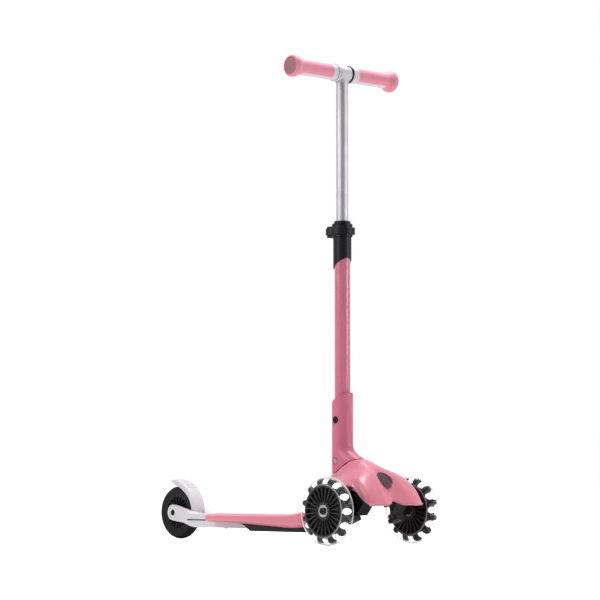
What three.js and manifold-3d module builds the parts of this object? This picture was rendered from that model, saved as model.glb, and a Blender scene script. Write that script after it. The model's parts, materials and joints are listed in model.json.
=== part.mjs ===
// A three wheel kids scooter: lean to steer front wheels, a folding stem with a height clamp,
// a deck with a sliding rear frame, and a rear wheel under a foot brake.
// Millimetres. +X forward, +Y to the rider's left, +Z up, the floor at zero.
// Inside the model X is measured from the front axle; the group is centred at the end.
import * as THREE from 'three';
import { mergeVertices } from 'three/addons/utils/BufferGeometryUtils.js';
import Module from 'manifold-3d';

const wasm = await Module();
wasm.setup();

// Driving dimensions
const frontRadius = 60;
const frontWidth = 24;
const frontTrack = 214;
const rearRadius = 50;
const rearWidth = 24;
const wheelbase = 508;
const stemSetback = 69;
const pivotHeight = 147;
const handleHeight = 845;
const handleSpan = 258;
const deckWidth = 124;
const deckFront = -105;
const deckTail = 139;
const noseReach = 76;

// Where the deck ends behind
const deckRear = deckTail - wheelbase;

// Shared fits
const gap = 0.3;
const overrun = 2;

// Facets round a circle
const fineSides = 36;
const plainSides = 24;
const smallSides = 12;

// Finishes
const pink = { color: 0xec8fa3, roughness: 0.42, metalness: 0 };
const pinkSoft = { color: 0xe88fa2, roughness: 0.7, metalness: 0 };
const pinkDeep = { color: 0xb9727f, roughness: 0.6, metalness: 0 };
const white = { color: 0xdedade, roughness: 0.4, metalness: 0 };
const matting = { color: 0xefe4e5, roughness: 0.8, metalness: 0 };
const black = { color: 0x1e1e22, roughness: 0.5, metalness: 0 };
const rubber = { color: 0x18181a, roughness: 0.8, metalness: 0 };
const hubGrey = { color: 0x3c3a3e, roughness: 0.45, metalness: 0 };
const clear = { color: 0xe6e6ea, roughness: 0.15, metalness: 0 };
const lugGrey = { color: 0x2a2a2e, roughness: 0.4, metalness: 0 };
const badgeGrey = { color: 0x5a4550, roughness: 0.45, metalness: 0 };
const aluminium = { color: 0xc9c6ce, roughness: 0.3, metalness: 1 };
const steel = { color: 0xb9b9be, roughness: 0.25, metalness: 1 };

// Building a closed solid from a geometry, and a geometry from a solid
function solid(geometry) {
  const bare = geometry.index ? geometry.toNonIndexed() : geometry.clone();
  bare.deleteAttribute('normal');
  bare.deleteAttribute('uv');
  const merged = mergeVertices(bare);
  const vertProperties = new Float32Array(merged.attributes.position.array);
  const triVerts = new Uint32Array(merged.index.array);
  if (signedVolume(vertProperties, triVerts) < 0) {
    for (let t = 0; t < triVerts.length; t += 3) {
      [triVerts[t], triVerts[t + 1]] = [triVerts[t + 1], triVerts[t]];
    }
  }
  return new wasm.Manifold(new wasm.Mesh({ numProp: 3, vertProperties, triVerts }));
}

function signedVolume(places, corners) {
  const [a, b, c] = [new THREE.Vector3(), new THREE.Vector3(), new THREE.Vector3()];
  let volume = 0;
  for (let t = 0; t < corners.length; t += 3) {
    a.fromArray(places, 3 * corners[t]);
    b.fromArray(places, 3 * corners[t + 1]);
    c.fromArray(places, 3 * corners[t + 2]);
    volume += a.dot(b.cross(c));
  }
  return volume;
}

function geometryOf(body) {
  const mesh = body.getMesh();
  const geometry = new THREE.BufferGeometry();
  geometry.setAttribute('position', new THREE.BufferAttribute(new Float32Array(mesh.vertProperties), 3));
  geometry.setIndex(new THREE.BufferAttribute(new Uint32Array(mesh.triVerts), 1));
  geometry.computeVertexNormals();
  return geometry;
}

// A prism of an outline: along y the outline is (x, z), along z it is (x, y), along x it is (y, z)
const prismAxes = {
  x: new THREE.Matrix4().set(0, 0, 1, 0, 1, 0, 0, 0, 0, 1, 0, 0, 0, 0, 0, 1),
  y: new THREE.Matrix4().set(1, 0, 0, 0, 0, 0, -1, 0, 0, 1, 0, 0, 0, 0, 0, 1),
  z: new THREE.Matrix4(),
};

function prism(axis, points, from, to) {
  const shape = new THREE.Shape(points.map(([u, v]) => new THREE.Vector2(u, v)));
  const geometry = new THREE.ExtrudeGeometry(shape, { depth: to - from, bevelEnabled: false, steps: 1 });
  geometry.applyMatrix4(prismAxes[axis]);
  if (axis === 'x') geometry.translate(from, 0, 0);
  if (axis === 'y') geometry.translate(0, to, 0);
  if (axis === 'z') geometry.translate(0, 0, from);
  return solid(geometry);
}

function block(x0, x1, y0, y1, z0, z1) {
  return prism('z', [[x0, y0], [x1, y0], [x1, y1], [x0, y1]], z0, z1);
}

// A turned solid: the profile is (radius, place along the axis)
function turned(axis, profile, [x, y, z], sides = plainSides) {
  const points = profile.map(([r, h]) => new THREE.Vector2(r, h));
  points.push(points[0].clone());
  const geometry = new THREE.LatheGeometry(points, sides);
  if (axis === 'x') geometry.rotateZ(-Math.PI / 2);
  if (axis === 'z') geometry.rotateX(Math.PI / 2);
  geometry.translate(x, y, z);
  return solid(geometry);
}

function rod(axis, radius, from, to, centre, sides = plainSides) {
  const shape = circle(0, 0, radius, sides);
  const [x, y, z] = centre;
  const geometry = new THREE.ExtrudeGeometry(
    new THREE.Shape(shape.map(([u, v]) => new THREE.Vector2(u, v))),
    { depth: to - from, bevelEnabled: false, steps: 1 },
  );
  geometry.applyMatrix4(prismAxes[axis]);
  if (axis === 'x') geometry.translate(from, y, z);
  if (axis === 'y') geometry.translate(x, to, z);
  if (axis === 'z') geometry.translate(x, y, from);
  return solid(geometry);
}

function ring(axis, outer, inner, from, to, centre, sides = plainSides) {
  return turned(axis, [[inner, from], [outer, from], [outer, to], [inner, to]], centre, sides);
}

function circle(x, y, radius, sides) {
  const points = [];
  for (let i = 0; i < sides; i += 1) {
    const angle = (i / sides) * 2 * Math.PI;
    points.push([x + radius * Math.cos(angle), y + radius * Math.sin(angle)]);
  }
  return points;
}

function arc(x, y, radius, from, to, steps) {
  const points = [];
  for (let i = 0; i <= steps; i += 1) {
    const angle = THREE.MathUtils.degToRad(from + ((to - from) * i) / steps);
    points.push([x + radius * Math.cos(angle), y + radius * Math.sin(angle)]);
  }
  return points;
}

// An outline with its corners rounded, each within this share of its shorter side's half
const cornerShare = 0.98;

function rounded(points, radius, steps = 4) {
  const out = [];
  points.forEach((corner, i) => {
    const here = new THREE.Vector2(...corner);
    const before = new THREE.Vector2(...points[(i + points.length - 1) % points.length]);
    const after = new THREE.Vector2(...points[(i + 1) % points.length]);
    const room = Math.min(here.distanceTo(before), here.distanceTo(after)) / 2;
    const reach = Math.min(radius, room * cornerShare);
    const start = here.clone().add(before.sub(here).setLength(reach));
    const end = here.clone().add(after.sub(here).setLength(reach));
    const bend = new THREE.QuadraticBezierCurve(start, here, end);
    bend.getPoints(steps).forEach((p) => out.push([p.x, p.y]));
  });
  return out;
}

// A closed skin over rings of equally many points, each ring a list of [x, y, z]
function loft(rings) {
  const places = [];
  const corners = [];
  const count = rings[0].length;
  rings.forEach((points) => points.forEach((p) => places.push(...p)));
  for (let r = 0; r + 1 < rings.length; r += 1) {
    for (let i = 0; i < count; i += 1) {
      const j = (i + 1) % count;
      const [a, b, c, d] = [r * count + i, r * count + j, (r + 1) * count + j, (r + 1) * count + i];
      corners.push(a, b, c, a, c, d);
    }
  }
  const last = (rings.length - 1) * count;
  for (const [first, flip] of [[0, true], [last, false]]) {
    const hub = places.length / 3;
    const middle = [0, 1, 2].map((k) => {
      let sum = 0;
      for (let i = 0; i < count; i += 1) sum += places[3 * (first + i) + k];
      return sum / count;
    });
    places.push(...middle);
    for (let i = 0; i < count; i += 1) {
      const j = (i + 1) % count;
      corners.push(...(flip ? [hub, first + j, first + i] : [hub, first + i, first + j]));
    }
  }
  const geometry = new THREE.BufferGeometry();
  geometry.setAttribute('position', new THREE.BufferAttribute(new Float32Array(places), 3));
  geometry.setIndex(corners);
  return solid(geometry);
}

// One section of a body across X: flat below, arched above
function archRing(x, halfWidth, bottom, top, archShares = [0.5, 0.45], steps = 12) {
  const points = [];
  for (let i = 0; i <= steps; i += 1) {
    const angle = (Math.PI * i) / steps;
    const across = Math.sign(Math.cos(angle)) * Math.abs(Math.cos(angle)) ** archShares[0];
    const up = Math.sin(angle) ** archShares[1];
    points.push([x, halfWidth * across, bottom + (top - bottom) * (i === 0 || i === steps ? 0 : up)]);
  }
  return points;
}

// A skin over a grid of rows, thickened by a shift
function panel(rows, topShift, bottomShift) {
  const moved = (shift) => rows.map((row) => row.map((p) => p.map((v, k) => v + shift[k])));
  const [top, bottom] = [moved(topShift), moved(bottomShift)];
  const wide = rows[0].length;
  const long = rows.length;
  const places = [...top.flat(2), ...bottom.flat(2)];
  const at = (layer, r, c) => layer * wide * long + r * wide + c;
  const corners = [];
  const quad = (a, b, c, d) => corners.push(a, b, c, a, c, d);
  for (let r = 0; r + 1 < long; r += 1) {
    for (let c = 0; c + 1 < wide; c += 1) {
      quad(at(0, r, c), at(0, r, c + 1), at(0, r + 1, c + 1), at(0, r + 1, c));
      quad(at(1, r, c), at(1, r + 1, c), at(1, r + 1, c + 1), at(1, r, c + 1));
    }
    quad(at(0, r, 0), at(0, r + 1, 0), at(1, r + 1, 0), at(1, r, 0));
    quad(at(0, r + 1, wide - 1), at(0, r, wide - 1), at(1, r, wide - 1), at(1, r + 1, wide - 1));
  }
  for (let c = 0; c + 1 < wide; c += 1) {
    quad(at(0, 0, c + 1), at(0, 0, c), at(1, 0, c), at(1, 0, c + 1));
    quad(at(0, long - 1, c), at(0, long - 1, c + 1), at(1, long - 1, c + 1), at(1, long - 1, c));
  }
  const geometry = new THREE.BufferGeometry();
  geometry.setAttribute('position', new THREE.BufferAttribute(new Float32Array(places), 3));
  geometry.setIndex(corners);
  return solid(geometry);
}

const scooter = new THREE.Group();
scooter.position.x = (wheelbase + rearRadius - noseReach) / 2;

function addPiece(name, finish, body, group = scooter) {
  const mesh = new THREE.Mesh(geometryOf(body), new THREE.MeshStandardMaterial(finish));
  mesh.name = name;
  group.add(mesh);
}

// Ball bearings, which carry all three wheels
const bearingRadius = 11;
const bearingBore = 4;
const bearingWidth = 7;
const bearingRingShare = 0.78;
const bearingGroove = 0.8;

function bearing(face, outward) {
  const inner = bearingBore;
  const outer = bearingRadius;
  const shoulder = bearingRadius * bearingRingShare;
  const out = face;
  const sunk = face - outward * bearingGroove;
  const back = face - outward * bearingWidth;
  const profile = [[inner, back], [outer, back], [outer, out], [shoulder, out], [shoulder, sunk],
    [inner, sunk]];
  return turned('y', profile, [0, 0, 0], smallSides);
}

// Radial slots cut into both faces of a wheel core, leaving a web between them
function slotted(core, { slots, inner, outer, width, face, web }) {
  let body = core;
  for (let i = 0; i < slots; i += 1) {
    const turn = (i / slots) * 2 * Math.PI;
    const [ux, uz] = [Math.cos(turn), Math.sin(turn)];
    const narrow = (width * inner) / outer;
    const corner = (r, side, wide) => [ux * r - (uz * side * wide) / 2, uz * r + (ux * side * wide) / 2];
    const outline = [corner(inner, -1, narrow), corner(outer, -1, width), corner(outer, 1, width),
      corner(inner, 1, narrow)];
    body = body.subtract(prism('y', outline, web / 2, face + overrun));
    body = body.subtract(prism('y', outline, -face - overrun, -web / 2));
  }
  return body;
}

// Front wheels: a slotted core, a dark ring of lugs that holds the lights, and a clear tyre
const frontCoreRadius = 45;
const frontCoreWidth = 20;
const frontRimWidth = 2.4;
const frontRimSink = 0.8;
const frontSlots = 24;
const frontSlotInner = 16.5;
const frontSlotWidth = 4;
const frontWeb = 4;
const lightRingWall = 1.8;
const lightRingWidth = 16;
const lugCount = 12;
const lugTop = 55;
const lugLength = 9;
const tyreShoulder = 6;
const tyreShoulderDrop = 1;
const tyreCheek = 9.5;
const tyreCheekDrop = 4;
const tyreWallDrop = 9;
const axleHeadRadius = 6.2;
const axleHeadHeight = 2.2;
const axleSocketRadius = 3;
const axleSocketDepth = 1.6;

function frontWheel(side) {
  const sideName = side > 0 ? 'left' : 'right';
  const wheel = new THREE.Group();
  wheel.position.set(0, (side * frontTrack) / 2, frontRadius);
  scooter.add(wheel);

  const half = frontCoreWidth / 2;
  const bore = bearingRadius + gap;
  const rimInner = frontCoreRadius - frontRimWidth;
  const sunk = half - frontRimSink;
  const stop = half - bearingWidth - gap;
  const shaftWay = bearingBore + 1.5 * gap;
  let core = turned('y', [
    [bore, -half], [frontCoreRadius, -half],
    [frontCoreRadius, half], [rimInner, half], [rimInner, sunk], [bore, sunk],
    [bore, stop], [shaftWay, stop], [shaftWay, -stop], [bore, -stop],
  ], [0, 0, 0], fineSides);
  core = slotted(core, {
    slots: frontSlots, inner: frontSlotInner, outer: rimInner - frontRimSink,
    width: frontSlotWidth, face: half, web: frontWeb,
  });
  addPiece(`front_core_${sideName}`, hubGrey, side > 0 ? core : mirroredY(core), wheel);

  const bandInner = frontCoreRadius + gap;
  const bandOuter = bandInner + lightRingWall;
  const bandHalf = lightRingWidth / 2;
  const lugBand = (grow) => {
    let band = ring('y', bandOuter + grow, bandInner - grow * 2, -bandHalf - grow, bandHalf + grow,
      [0, 0, 0], fineSides);
    for (let i = 0; i < lugCount; i += 1) {
      const turn = ((i + 0.5) / lugCount) * 2 * Math.PI;
      const [ux, uz] = [Math.cos(turn), Math.sin(turn)];
      const wide = lugLength / 2 + grow;
      const corner = (r, s) => [ux * r - uz * s * wide, uz * r + ux * s * wide];
      const low = bandInner + lightRingWall / 2;
      const outline = [corner(low, -1), corner(lugTop + grow, -1), corner(lugTop + grow, 1), corner(low, 1)];
      band = band.add(prism('y', outline, -bandHalf - grow, bandHalf + grow));
    }
    return band;
  };
  addPiece(`light_ring_${sideName}`, lugGrey, lugBand(0), wheel);

  const wide = frontWidth / 2;
  const tyre = turned('y', [
    [bandInner, -wide], [frontRadius - tyreWallDrop, -wide], [frontRadius - tyreCheekDrop, -tyreCheek],
    [frontRadius - tyreShoulderDrop, -tyreShoulder], [frontRadius, -tyreShoulder / 3],
    [frontRadius, tyreShoulder / 3], [frontRadius - tyreShoulderDrop, tyreShoulder],
    [frontRadius - tyreCheekDrop, tyreCheek], [frontRadius - tyreWallDrop, wide], [bandInner, wide],
  ], [0, 0, 0], fineSides);
  addPiece(`front_tyre_${sideName}`, clear, tyre.subtract(lugBand(gap)), wheel);

  addPiece(`bearing_outer_${sideName}`, steel, bearing(side * half, side), wheel);
  addPiece(`bearing_inner_${sideName}`, steel, bearing(-side * half, -side), wheel);
}

function mirroredY(body) {
  const geometry = geometryOf(body);
  geometry.deleteAttribute('normal');
  geometry.scale(1, -1, 1);
  return solid(geometry);
}

// Steering: kingpins that lean back, knuckles on them, and one tie rod
const kingpinSetback = -4;
const kingpinOffset = 62;
const kingpinLean = 22;
const kingpinRadius = 4;
const kingpinHead = 6;
const kingpinHeadHeight = 2;
const knuckleRadius = 11;
const knuckleLow = 14;
const knuckleHigh = 25;
const knuckleArmHalf = 9;
const knuckleFaceInset = 2;
const knuckleFaceRadius = 8;
const earThickness = 7;
const earHalf = 12;
const steerArmLength = 20;
const steerArmHalf = 5;
const steerArmBottom = 14;
const steerArmTop = 24;
const tieRodThickness = 4;
const tieRodHalf = 5;
const tiePinRadius = 2.4;
const tiePinHead = 4;
const tiePinHeadHeight = 1.6;
const axleGrip = 24;

const steering = new THREE.Group();
steering.position.set(-kingpinSetback, 0, frontRadius);
steering.rotation.y = THREE.MathUtils.degToRad(-kingpinLean);
scooter.add(steering);

// Bringing a solid that is set in the scooter's own axes into the leaning steering group
function leaned(body) {
  const geometry = geometryOf(body);
  geometry.deleteAttribute('normal');
  geometry.translate(kingpinSetback, 0, -frontRadius);
  geometry.rotateY(THREE.MathUtils.degToRad(kingpinLean));
  return solid(geometry);
}

function knuckle(side) {
  const sideName = side > 0 ? 'left' : 'right';
  const [near, far] = [kingpinOffset, frontTrack / 2 - frontCoreWidth / 2 - knuckleFaceInset];
  const toSide = (from, to) => (side > 0 ? [from, to] : [-to, -from]);
  const pivot = [0, side * kingpinOffset, 0];
  const armTip = [-steerArmLength, side * kingpinOffset, 0];
  const axleCentre = [0, 0, frontRadius];
  const barrel = rod('z', knuckleRadius, -knuckleLow, knuckleHigh, pivot);
  const [armFrom, armTo] = toSide(near, far - knuckleFaceInset);
  const arm = leaned(block(-knuckleArmHalf, knuckleArmHalf, armFrom, armTo,
    frontRadius - knuckleArmHalf, frontRadius + knuckleArmHalf));
  const faceSpan = toSide(far - 2 * knuckleFaceInset, far);
  const face = leaned(rod('y', knuckleFaceRadius, ...faceSpan, axleCentre));
  const steerArm = prism('z', [
    [0, side * near - steerArmHalf], [0, side * near + steerArmHalf],
    ...arc(-steerArmLength, side * near, steerArmHalf, 90, 270, 8),
  ], steerArmBottom, steerArmTop);
  const kingpinWay = rod('z', kingpinRadius + gap, -knuckleLow - overrun, knuckleHigh + overrun, pivot);
  const tiePinWay = rod('z', tiePinRadius + gap, steerArmBottom - overrun, steerArmTop + overrun, armTip,
    smallSides);
  const axleWaySpan = toSide(near + knuckleRadius / 2, far + overrun);
  const axleWay = leaned(rod('y', bearingBore, ...axleWaySpan, axleCentre, smallSides));
  const body = barrel.add(arm).add(face).add(steerArm).subtract(kingpinWay).subtract(tiePinWay)
    .subtract(axleWay);
  addPiece(`knuckle_${sideName}`, black, body, steering);

  const pinTop = knuckleHigh + gap + earThickness + gap;
  const kingpin = rod('z', kingpinRadius, -knuckleLow - gap - earThickness, pinTop, pivot, smallSides)
    .add(rod('z', kingpinHead, pinTop - gap / 2, pinTop + kingpinHeadHeight, pivot, smallSides));
  addPiece(`kingpin_${sideName}`, steel, kingpin, steering);

  const rodTop = steerArmTop + gap + tieRodThickness;
  const tiePin = rod('z', tiePinRadius, steerArmBottom - gap, rodTop + gap, armTip, smallSides)
    .add(rod('z', tiePinHead, rodTop + gap, rodTop + gap + tiePinHeadHeight, armTip, smallSides));
  addPiece(`tie_pin_${sideName}`, steel, tiePin, steering);

  const coreFace = frontTrack / 2 + frontCoreWidth / 2;
  const headSpan = toSide(coreFace + gap, coreFace + gap + axleHeadHeight);
  const socketSpan = toSide(coreFace + gap + axleHeadHeight - axleSocketDepth,
    coreFace + axleHeadHeight + overrun);
  const shankSpan = toSide(far - axleGrip + overrun, coreFace + gap + axleHeadHeight / 2);
  const bolt = rod('y', bearingBore - gap, ...shankSpan, axleCentre, smallSides)
    .add(rod('y', axleHeadRadius, ...headSpan, axleCentre, smallSides))
    .subtract(rod('y', axleSocketRadius, ...socketSpan, axleCentre, 6));
  addPiece(`axle_bolt_${sideName}`, black, bolt);
}

function tieRod() {
  const bottom = steerArmTop + gap;
  const outline = [
    ...arc(-steerArmLength, -kingpinOffset, tieRodHalf, 180, 360, 8),
    ...arc(-steerArmLength, kingpinOffset, tieRodHalf, 0, 180, 8),
  ];
  let body = prism('z', outline, bottom, bottom + tieRodThickness);
  for (const side of [-1, 1]) {
    body = body.subtract(rod('z', tiePinRadius + gap, bottom - overrun, bottom + tieRodThickness + overrun,
      [-steerArmLength, side * kingpinOffset, 0], smallSides));
  }
  addPiece('tie_rod', aluminium, body, steering);
}

// The hood of the nose: columns from the neck forward and down, outward from the centre
const hoodWall = 4;
const hoodHalf = 68;
const hoodHeight = 150;
const hoodColumnShares = [
  // Along the middle
  [[-0.816, 0, 0.867], [-0.592, 0, 0.953], [-0.395, 0, 0.993], [-0.184, 0, 0.996],
    [0.053, 0, 0.94], [0.257, 0, 0.873], [0.5, 0, 0.697], [0.763, 0, 0.507]],
  // Along the saddle under the neck
  [[-0.816, 0.294, 0.853], [-0.618, 0.279, 0.93], [-0.434, 0.228, 0.977], [-0.224, 0.162, 0.987],
    [0.039, 0.162, 0.94], [0.263, 0.162, 0.873], [0.539, 0.221, 0.697], [0.855, 0.294, 0.507]],
  // Along the ridge of the fender
  [[-0.816, 0.353, 0.807], [-0.553, 0.456, 0.807], [-0.355, 0.456, 0.853], [-0.158, 0.426, 0.887],
    [0.066, 0.353, 0.89], [0.303, 0.309, 0.867], [0.658, 0.412, 0.693], [1, 0.529, 0.507]],
  // Along the fender's outer slope
  [[-0.816, 0.382, 0.793], [-0.5, 0.559, 0.79], [-0.263, 0.647, 0.81], [-0.026, 0.735, 0.807],
    [0.184, 0.824, 0.787], [0.447, 0.897, 0.74], [0.711, 0.912, 0.62], [0.934, 0.882, 0.49]],
  // Along the outer edge
  [[-0.816, 0.412, 0.78], [-0.461, 0.662, 0.763], [-0.158, 0.882, 0.717], [0.158, 1, 0.694],
    [0.322, 1.007, 0.683], [0.421, 1.007, 0.631], [0.549, 1.007, 0.563], [0.708, 1.007, 0.507],
      [0.868, 0.985, 0.48]],
];
const hoodRowSteps = 14;
const hoodColumnSteps = 16;

function hoodRows() {
  const half = hoodColumnShares.map((column) => {
    const places = column.map(([x, y, z]) => new THREE.Vector3(x * noseReach, y * hoodHalf, z * hoodHeight));
    const curve = new THREE.CatmullRomCurve3(places, false, 'centripetal');
    return curve.getPoints(hoodRowSteps).map((p) => [p.x, p.y, p.z]);
  });
  const mirror = half.slice(1).reverse().map((column) => column.map(([x, y, z]) => [x, -y, z]));
  const columns = [...half.slice().reverse(), ...mirror.slice().reverse()];
  return columns[0].map((_, r) => {
    const across = columns.map((column) => new THREE.Vector3(...column[r]));
    const curve = new THREE.CatmullRomCurve3(across, false, 'centripetal');
    return curve.getPoints(hoodColumnSteps).map((p) => [p.x, p.y, p.z]);
  });
}

// The parting line between the folding neck and the nose, side view, in shares of the stem's
// setback and the hood's height
const partingShares = [
  [1.304, 0.827], [1.072, 0.833], [0.957, 0.853], [0.849, 0.885], [0.681, 0.942], [0.58, 0.969],
  [0.487, 0.988], [0.377, 1.001], [0.261, 1.007],
];
const partingLine = partingShares.map(([x, z]) => [-x * stemSetback, z * hoodHeight]);

// The neck and fold joint
const neckRadius = 19;
const neckHalf = 19.8;
const cheekInner = 12.7;
const socketRadius = 30.3;
const pinRadius = 4;
const pinRecessRadius = 6.5;
const pinRecessDepth = 2;
const eyeRadius = 12;
const hingeBase = 100;
const hingeBaseTop = 110;
const hingeShoulder = 6;
const hingeBaseHalf = 17;
const pocketFloor = 182;
const neckTopFront = 269;
const neckTopRear = 247;
const boltHeight = 220;
const boltHeadRadius = 6.5;
const boltRadius = 2.7;
const boltSink = 3.2;
const buttonHeight = 172;
const buttonRadius = 5.5;
const buttonProud = 3;
const buttonDepth = 10;
const buttonRoom = 6;
// The neck's sections from the top down, in shares: height, reach ahead of the stem, half width
const neckShares = [
  [1.833, 1, 1], [1.187, 1, 1], [1.147, 1.053, 1], [1.12, 1.158, 1], [1.097, 1.342, 1], [1.067, 1.684, 1.005],
  [1.04, 2.079, 1.011], [1.017, 2.447, 1.021], [0.997, 2.789, 1.026], [0.967, 3.158, 1.026],
    [0.907, 3.579, 1.026], [0.787, 4, 1.026],
];

// The stem tubes and the height clamp
const outerTubeRadius = 14.2;
const outerTubeBore = 11.2;
const outerTubeTop = 569;
const innerTubeRadius = 10.8;
const innerTubeBore = 9.4;
const innerTubeBottom = 440;
const sleeveRadius = 16.5;
const sleeveTop = 548;
const sleeveFront = 511;
const sleeveRear = 490;
const collarRadius = 18.5;
const collarTop = 572;
const clampRingRadius = 14.8;
const clampRingTop = 577;
const bossReach = 28;
const bossHalf = 11;
const bossCap = 3.5;
const leverBottom = 553;
const leverTop = 565;
const leverRadius = 23;
const leverPivot = [-24, -6];
const leverRootRadius = 8.7;
const leverPinRadius = 2.5;
// Angles round the stem, in degrees from straight ahead
const leverTip = 13;
const bandFrom = -150;
const bandRoomFrom = -160;
const bandSteps = 20;
const ridgeFrom = 17;
const ridgeTo = 105;

const stem = [-stemSetback, 0, 0];

function neckForm(grow) {
  const rings = neckShares.map(([height, reach, half]) => {
    const ringPoints = [];
    for (let i = 0; i < fineSides; i += 1) {
      const angle = (i / fineSides) * 2 * Math.PI;
      const ahead = Math.cos(angle) > 0 ? reach : 1;
      ringPoints.push([
        -stemSetback + (neckRadius * ahead + grow) * Math.cos(angle),
        (neckRadius * half + grow) * Math.sin(angle), height * hoodHeight,
      ]);
    }
    return ringPoints;
  });
  return loft(rings);
}

function neck() {
  const centre = -stemSetback;
  const parting = [...partingLine];
  const lowest = Math.min(...parting.map(([, z]) => z)) - neckRadius;
  const under = prism('y', [...parting, [parting.at(-1)[0] + 2 * neckRadius, parting.at(-1)[1]],
    [parting.at(-1)[0] + 2 * neckRadius, lowest - overrun], [parting[0][0] - neckRadius, lowest - overrun],
    [parting[0][0] - neckRadius, parting[0][1]]], -2 * neckRadius, 2 * neckRadius);
  const slopeTop = prism('y', [
    [centre - neckRadius, neckTopRear], [centre + neckRadius, neckTopFront],
    [centre + 2 * neckRadius, neckTopFront], [centre + 2 * neckRadius, neckTopFront + 2 * neckRadius],
    [centre - 2 * neckRadius, neckTopFront + 2 * neckRadius], [centre - 2 * neckRadius, neckTopRear],
  ], -2 * neckRadius, 2 * neckRadius);
  const tubeWay = rod('z', outerTubeRadius + gap, pocketFloor, neckTopFront + neckRadius, stem, fineSides);
  const eyeWay = prism('y', [
    ...arc(centre, pivotHeight, eyeRadius + 2 * gap, 0, 90, 6),
    [centre - 2 * neckRadius, pivotHeight + eyeRadius + 2 * gap], [centre - 2 * neckRadius, lowest - overrun],
    [centre + eyeRadius + 2 * gap, lowest - overrun],
  ], -cheekInner, cheekInner);
  const boltWay = rod('y', boltRadius + gap, -2 * neckRadius, 2 * neckRadius, [centre, 0, boltHeight],
    smallSides);
  const sink = boltHeadRadius + gap;
  const headWay = rod('y', sink, -2 * neckRadius, -neckRadius + boltSink, [centre, 0, boltHeight],
    smallSides);
  const nutWay = rod('y', sink, neckRadius - boltSink, 2 * neckRadius, [centre, 0, boltHeight], smallSides);
  const pinWay = rod('y', pinRadius + gap, -2 * neckRadius, 2 * neckRadius, [centre, 0, pivotHeight],
    smallSides);
  const recess = pinRecessRadius;
  const recessRight = rod('y', recess, -2 * neckRadius, -neckHalf + pinRecessDepth,
    [centre, 0, pivotHeight], smallSides);
  const recessLeft = rod('y', recess, neckHalf - pinRecessDepth, 2 * neckRadius, [centre, 0, pivotHeight],
    smallSides);
  const rearFace = centre - neckRadius;
  const buttonWay = rod('x', buttonRadius + gap, rearFace - neckRadius, rearFace + buttonDepth + buttonRoom,
    [0, 0, buttonHeight], smallSides);
  const body = neckForm(0).subtract(under).subtract(slopeTop).subtract(tubeWay).subtract(eyeWay)
    .subtract(boltWay).subtract(headWay).subtract(nutWay).subtract(pinWay).subtract(recessRight)
    .subtract(recessLeft).subtract(buttonWay);
  addPiece('neck_sleeve', pink, body);

  const button = rod('x', buttonRadius, rearFace - buttonProud, rearFace + buttonDepth,
    [0, 0, buttonHeight], smallSides);
  addPiece('fold_button', black, button);

  const headDeep = neckRadius - boltSink + gap;
  const boltCentre = [centre, 0, boltHeight];
  const bolt = rod('y', boltRadius, -headDeep, headDeep - gap, boltCentre, smallSides)
    .add(rod('y', boltHeadRadius, -neckRadius + gap, -headDeep, boltCentre, smallSides))
    .subtract(rod('y', boltRadius, -neckRadius - overrun, -headDeep - boltSink / 2, boltCentre, 6));
  const nut = rod('y', boltHeadRadius, headDeep, neckRadius - gap, boltCentre, smallSides)
    .subtract(rod('y', boltRadius, headDeep + boltSink / 2, neckRadius + overrun, boltCentre, 6));
  addPiece('neck_bolt', black, bolt);
  addPiece('neck_nut', black, nut);
}

function foldHinge() {
  const centre = -stemSetback;
  const eyeHalf = cheekInner - gap;
  const blockBody = prism('y', [
    [centre - hingeBaseHalf, hingeBase], [centre + hingeBaseHalf, hingeBase],
      [centre + hingeBaseHalf, hingeBaseTop],
    [centre + eyeRadius, hingeBaseTop + hingeShoulder], ...arc(centre, pivotHeight, eyeRadius, 0, 180, 14),
    [centre - eyeRadius, hingeBaseTop + hingeShoulder], [centre - hingeBaseHalf, hingeBaseTop],
  ], -eyeHalf, eyeHalf).subtract(rod('y', pinRadius + gap, -neckHalf, neckHalf, [centre, 0, pivotHeight],
    smallSides));
  addPiece('hinge_block', aluminium, blockBody);
  const pinHalf = neckHalf - pinRecessDepth / 2;
  addPiece('fold_pin', steel, rod('y', pinRadius, -pinHalf, pinHalf, [centre, 0, pivotHeight], smallSides));
}

function stemTubes() {
  const centre = -stemSetback;
  const bottom = pocketFloor + gap;
  const outer = ring('z', outerTubeRadius, outerTubeBore, bottom, outerTubeTop, stem, fineSides)
    .subtract(rod('y', boltRadius + gap, -2 * outerTubeRadius, 2 * outerTubeRadius, [centre, 0, boltHeight],
      smallSides));
  addPiece('outer_tube', pink, outer);

  const sleeve = ring('z', sleeveRadius, outerTubeRadius + gap, sleeveRear - overrun, sleeveTop, stem,
    fineSides)
    .subtract(prism('y', [
      [centre - sleeveRadius, sleeveRear], [centre + sleeveRadius, sleeveFront],
      [centre + 2 * sleeveRadius, sleeveFront], [centre + 2 * sleeveRadius, sleeveRear - 2 * sleeveRadius],
      [centre - 2 * sleeveRadius, sleeveRear - 2 * sleeveRadius], [centre - 2 * sleeveRadius, sleeveRear],
    ], -2 * sleeveRadius, 2 * sleeveRadius));
  addPiece('clamp_sleeve', black, sleeve);
}

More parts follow.
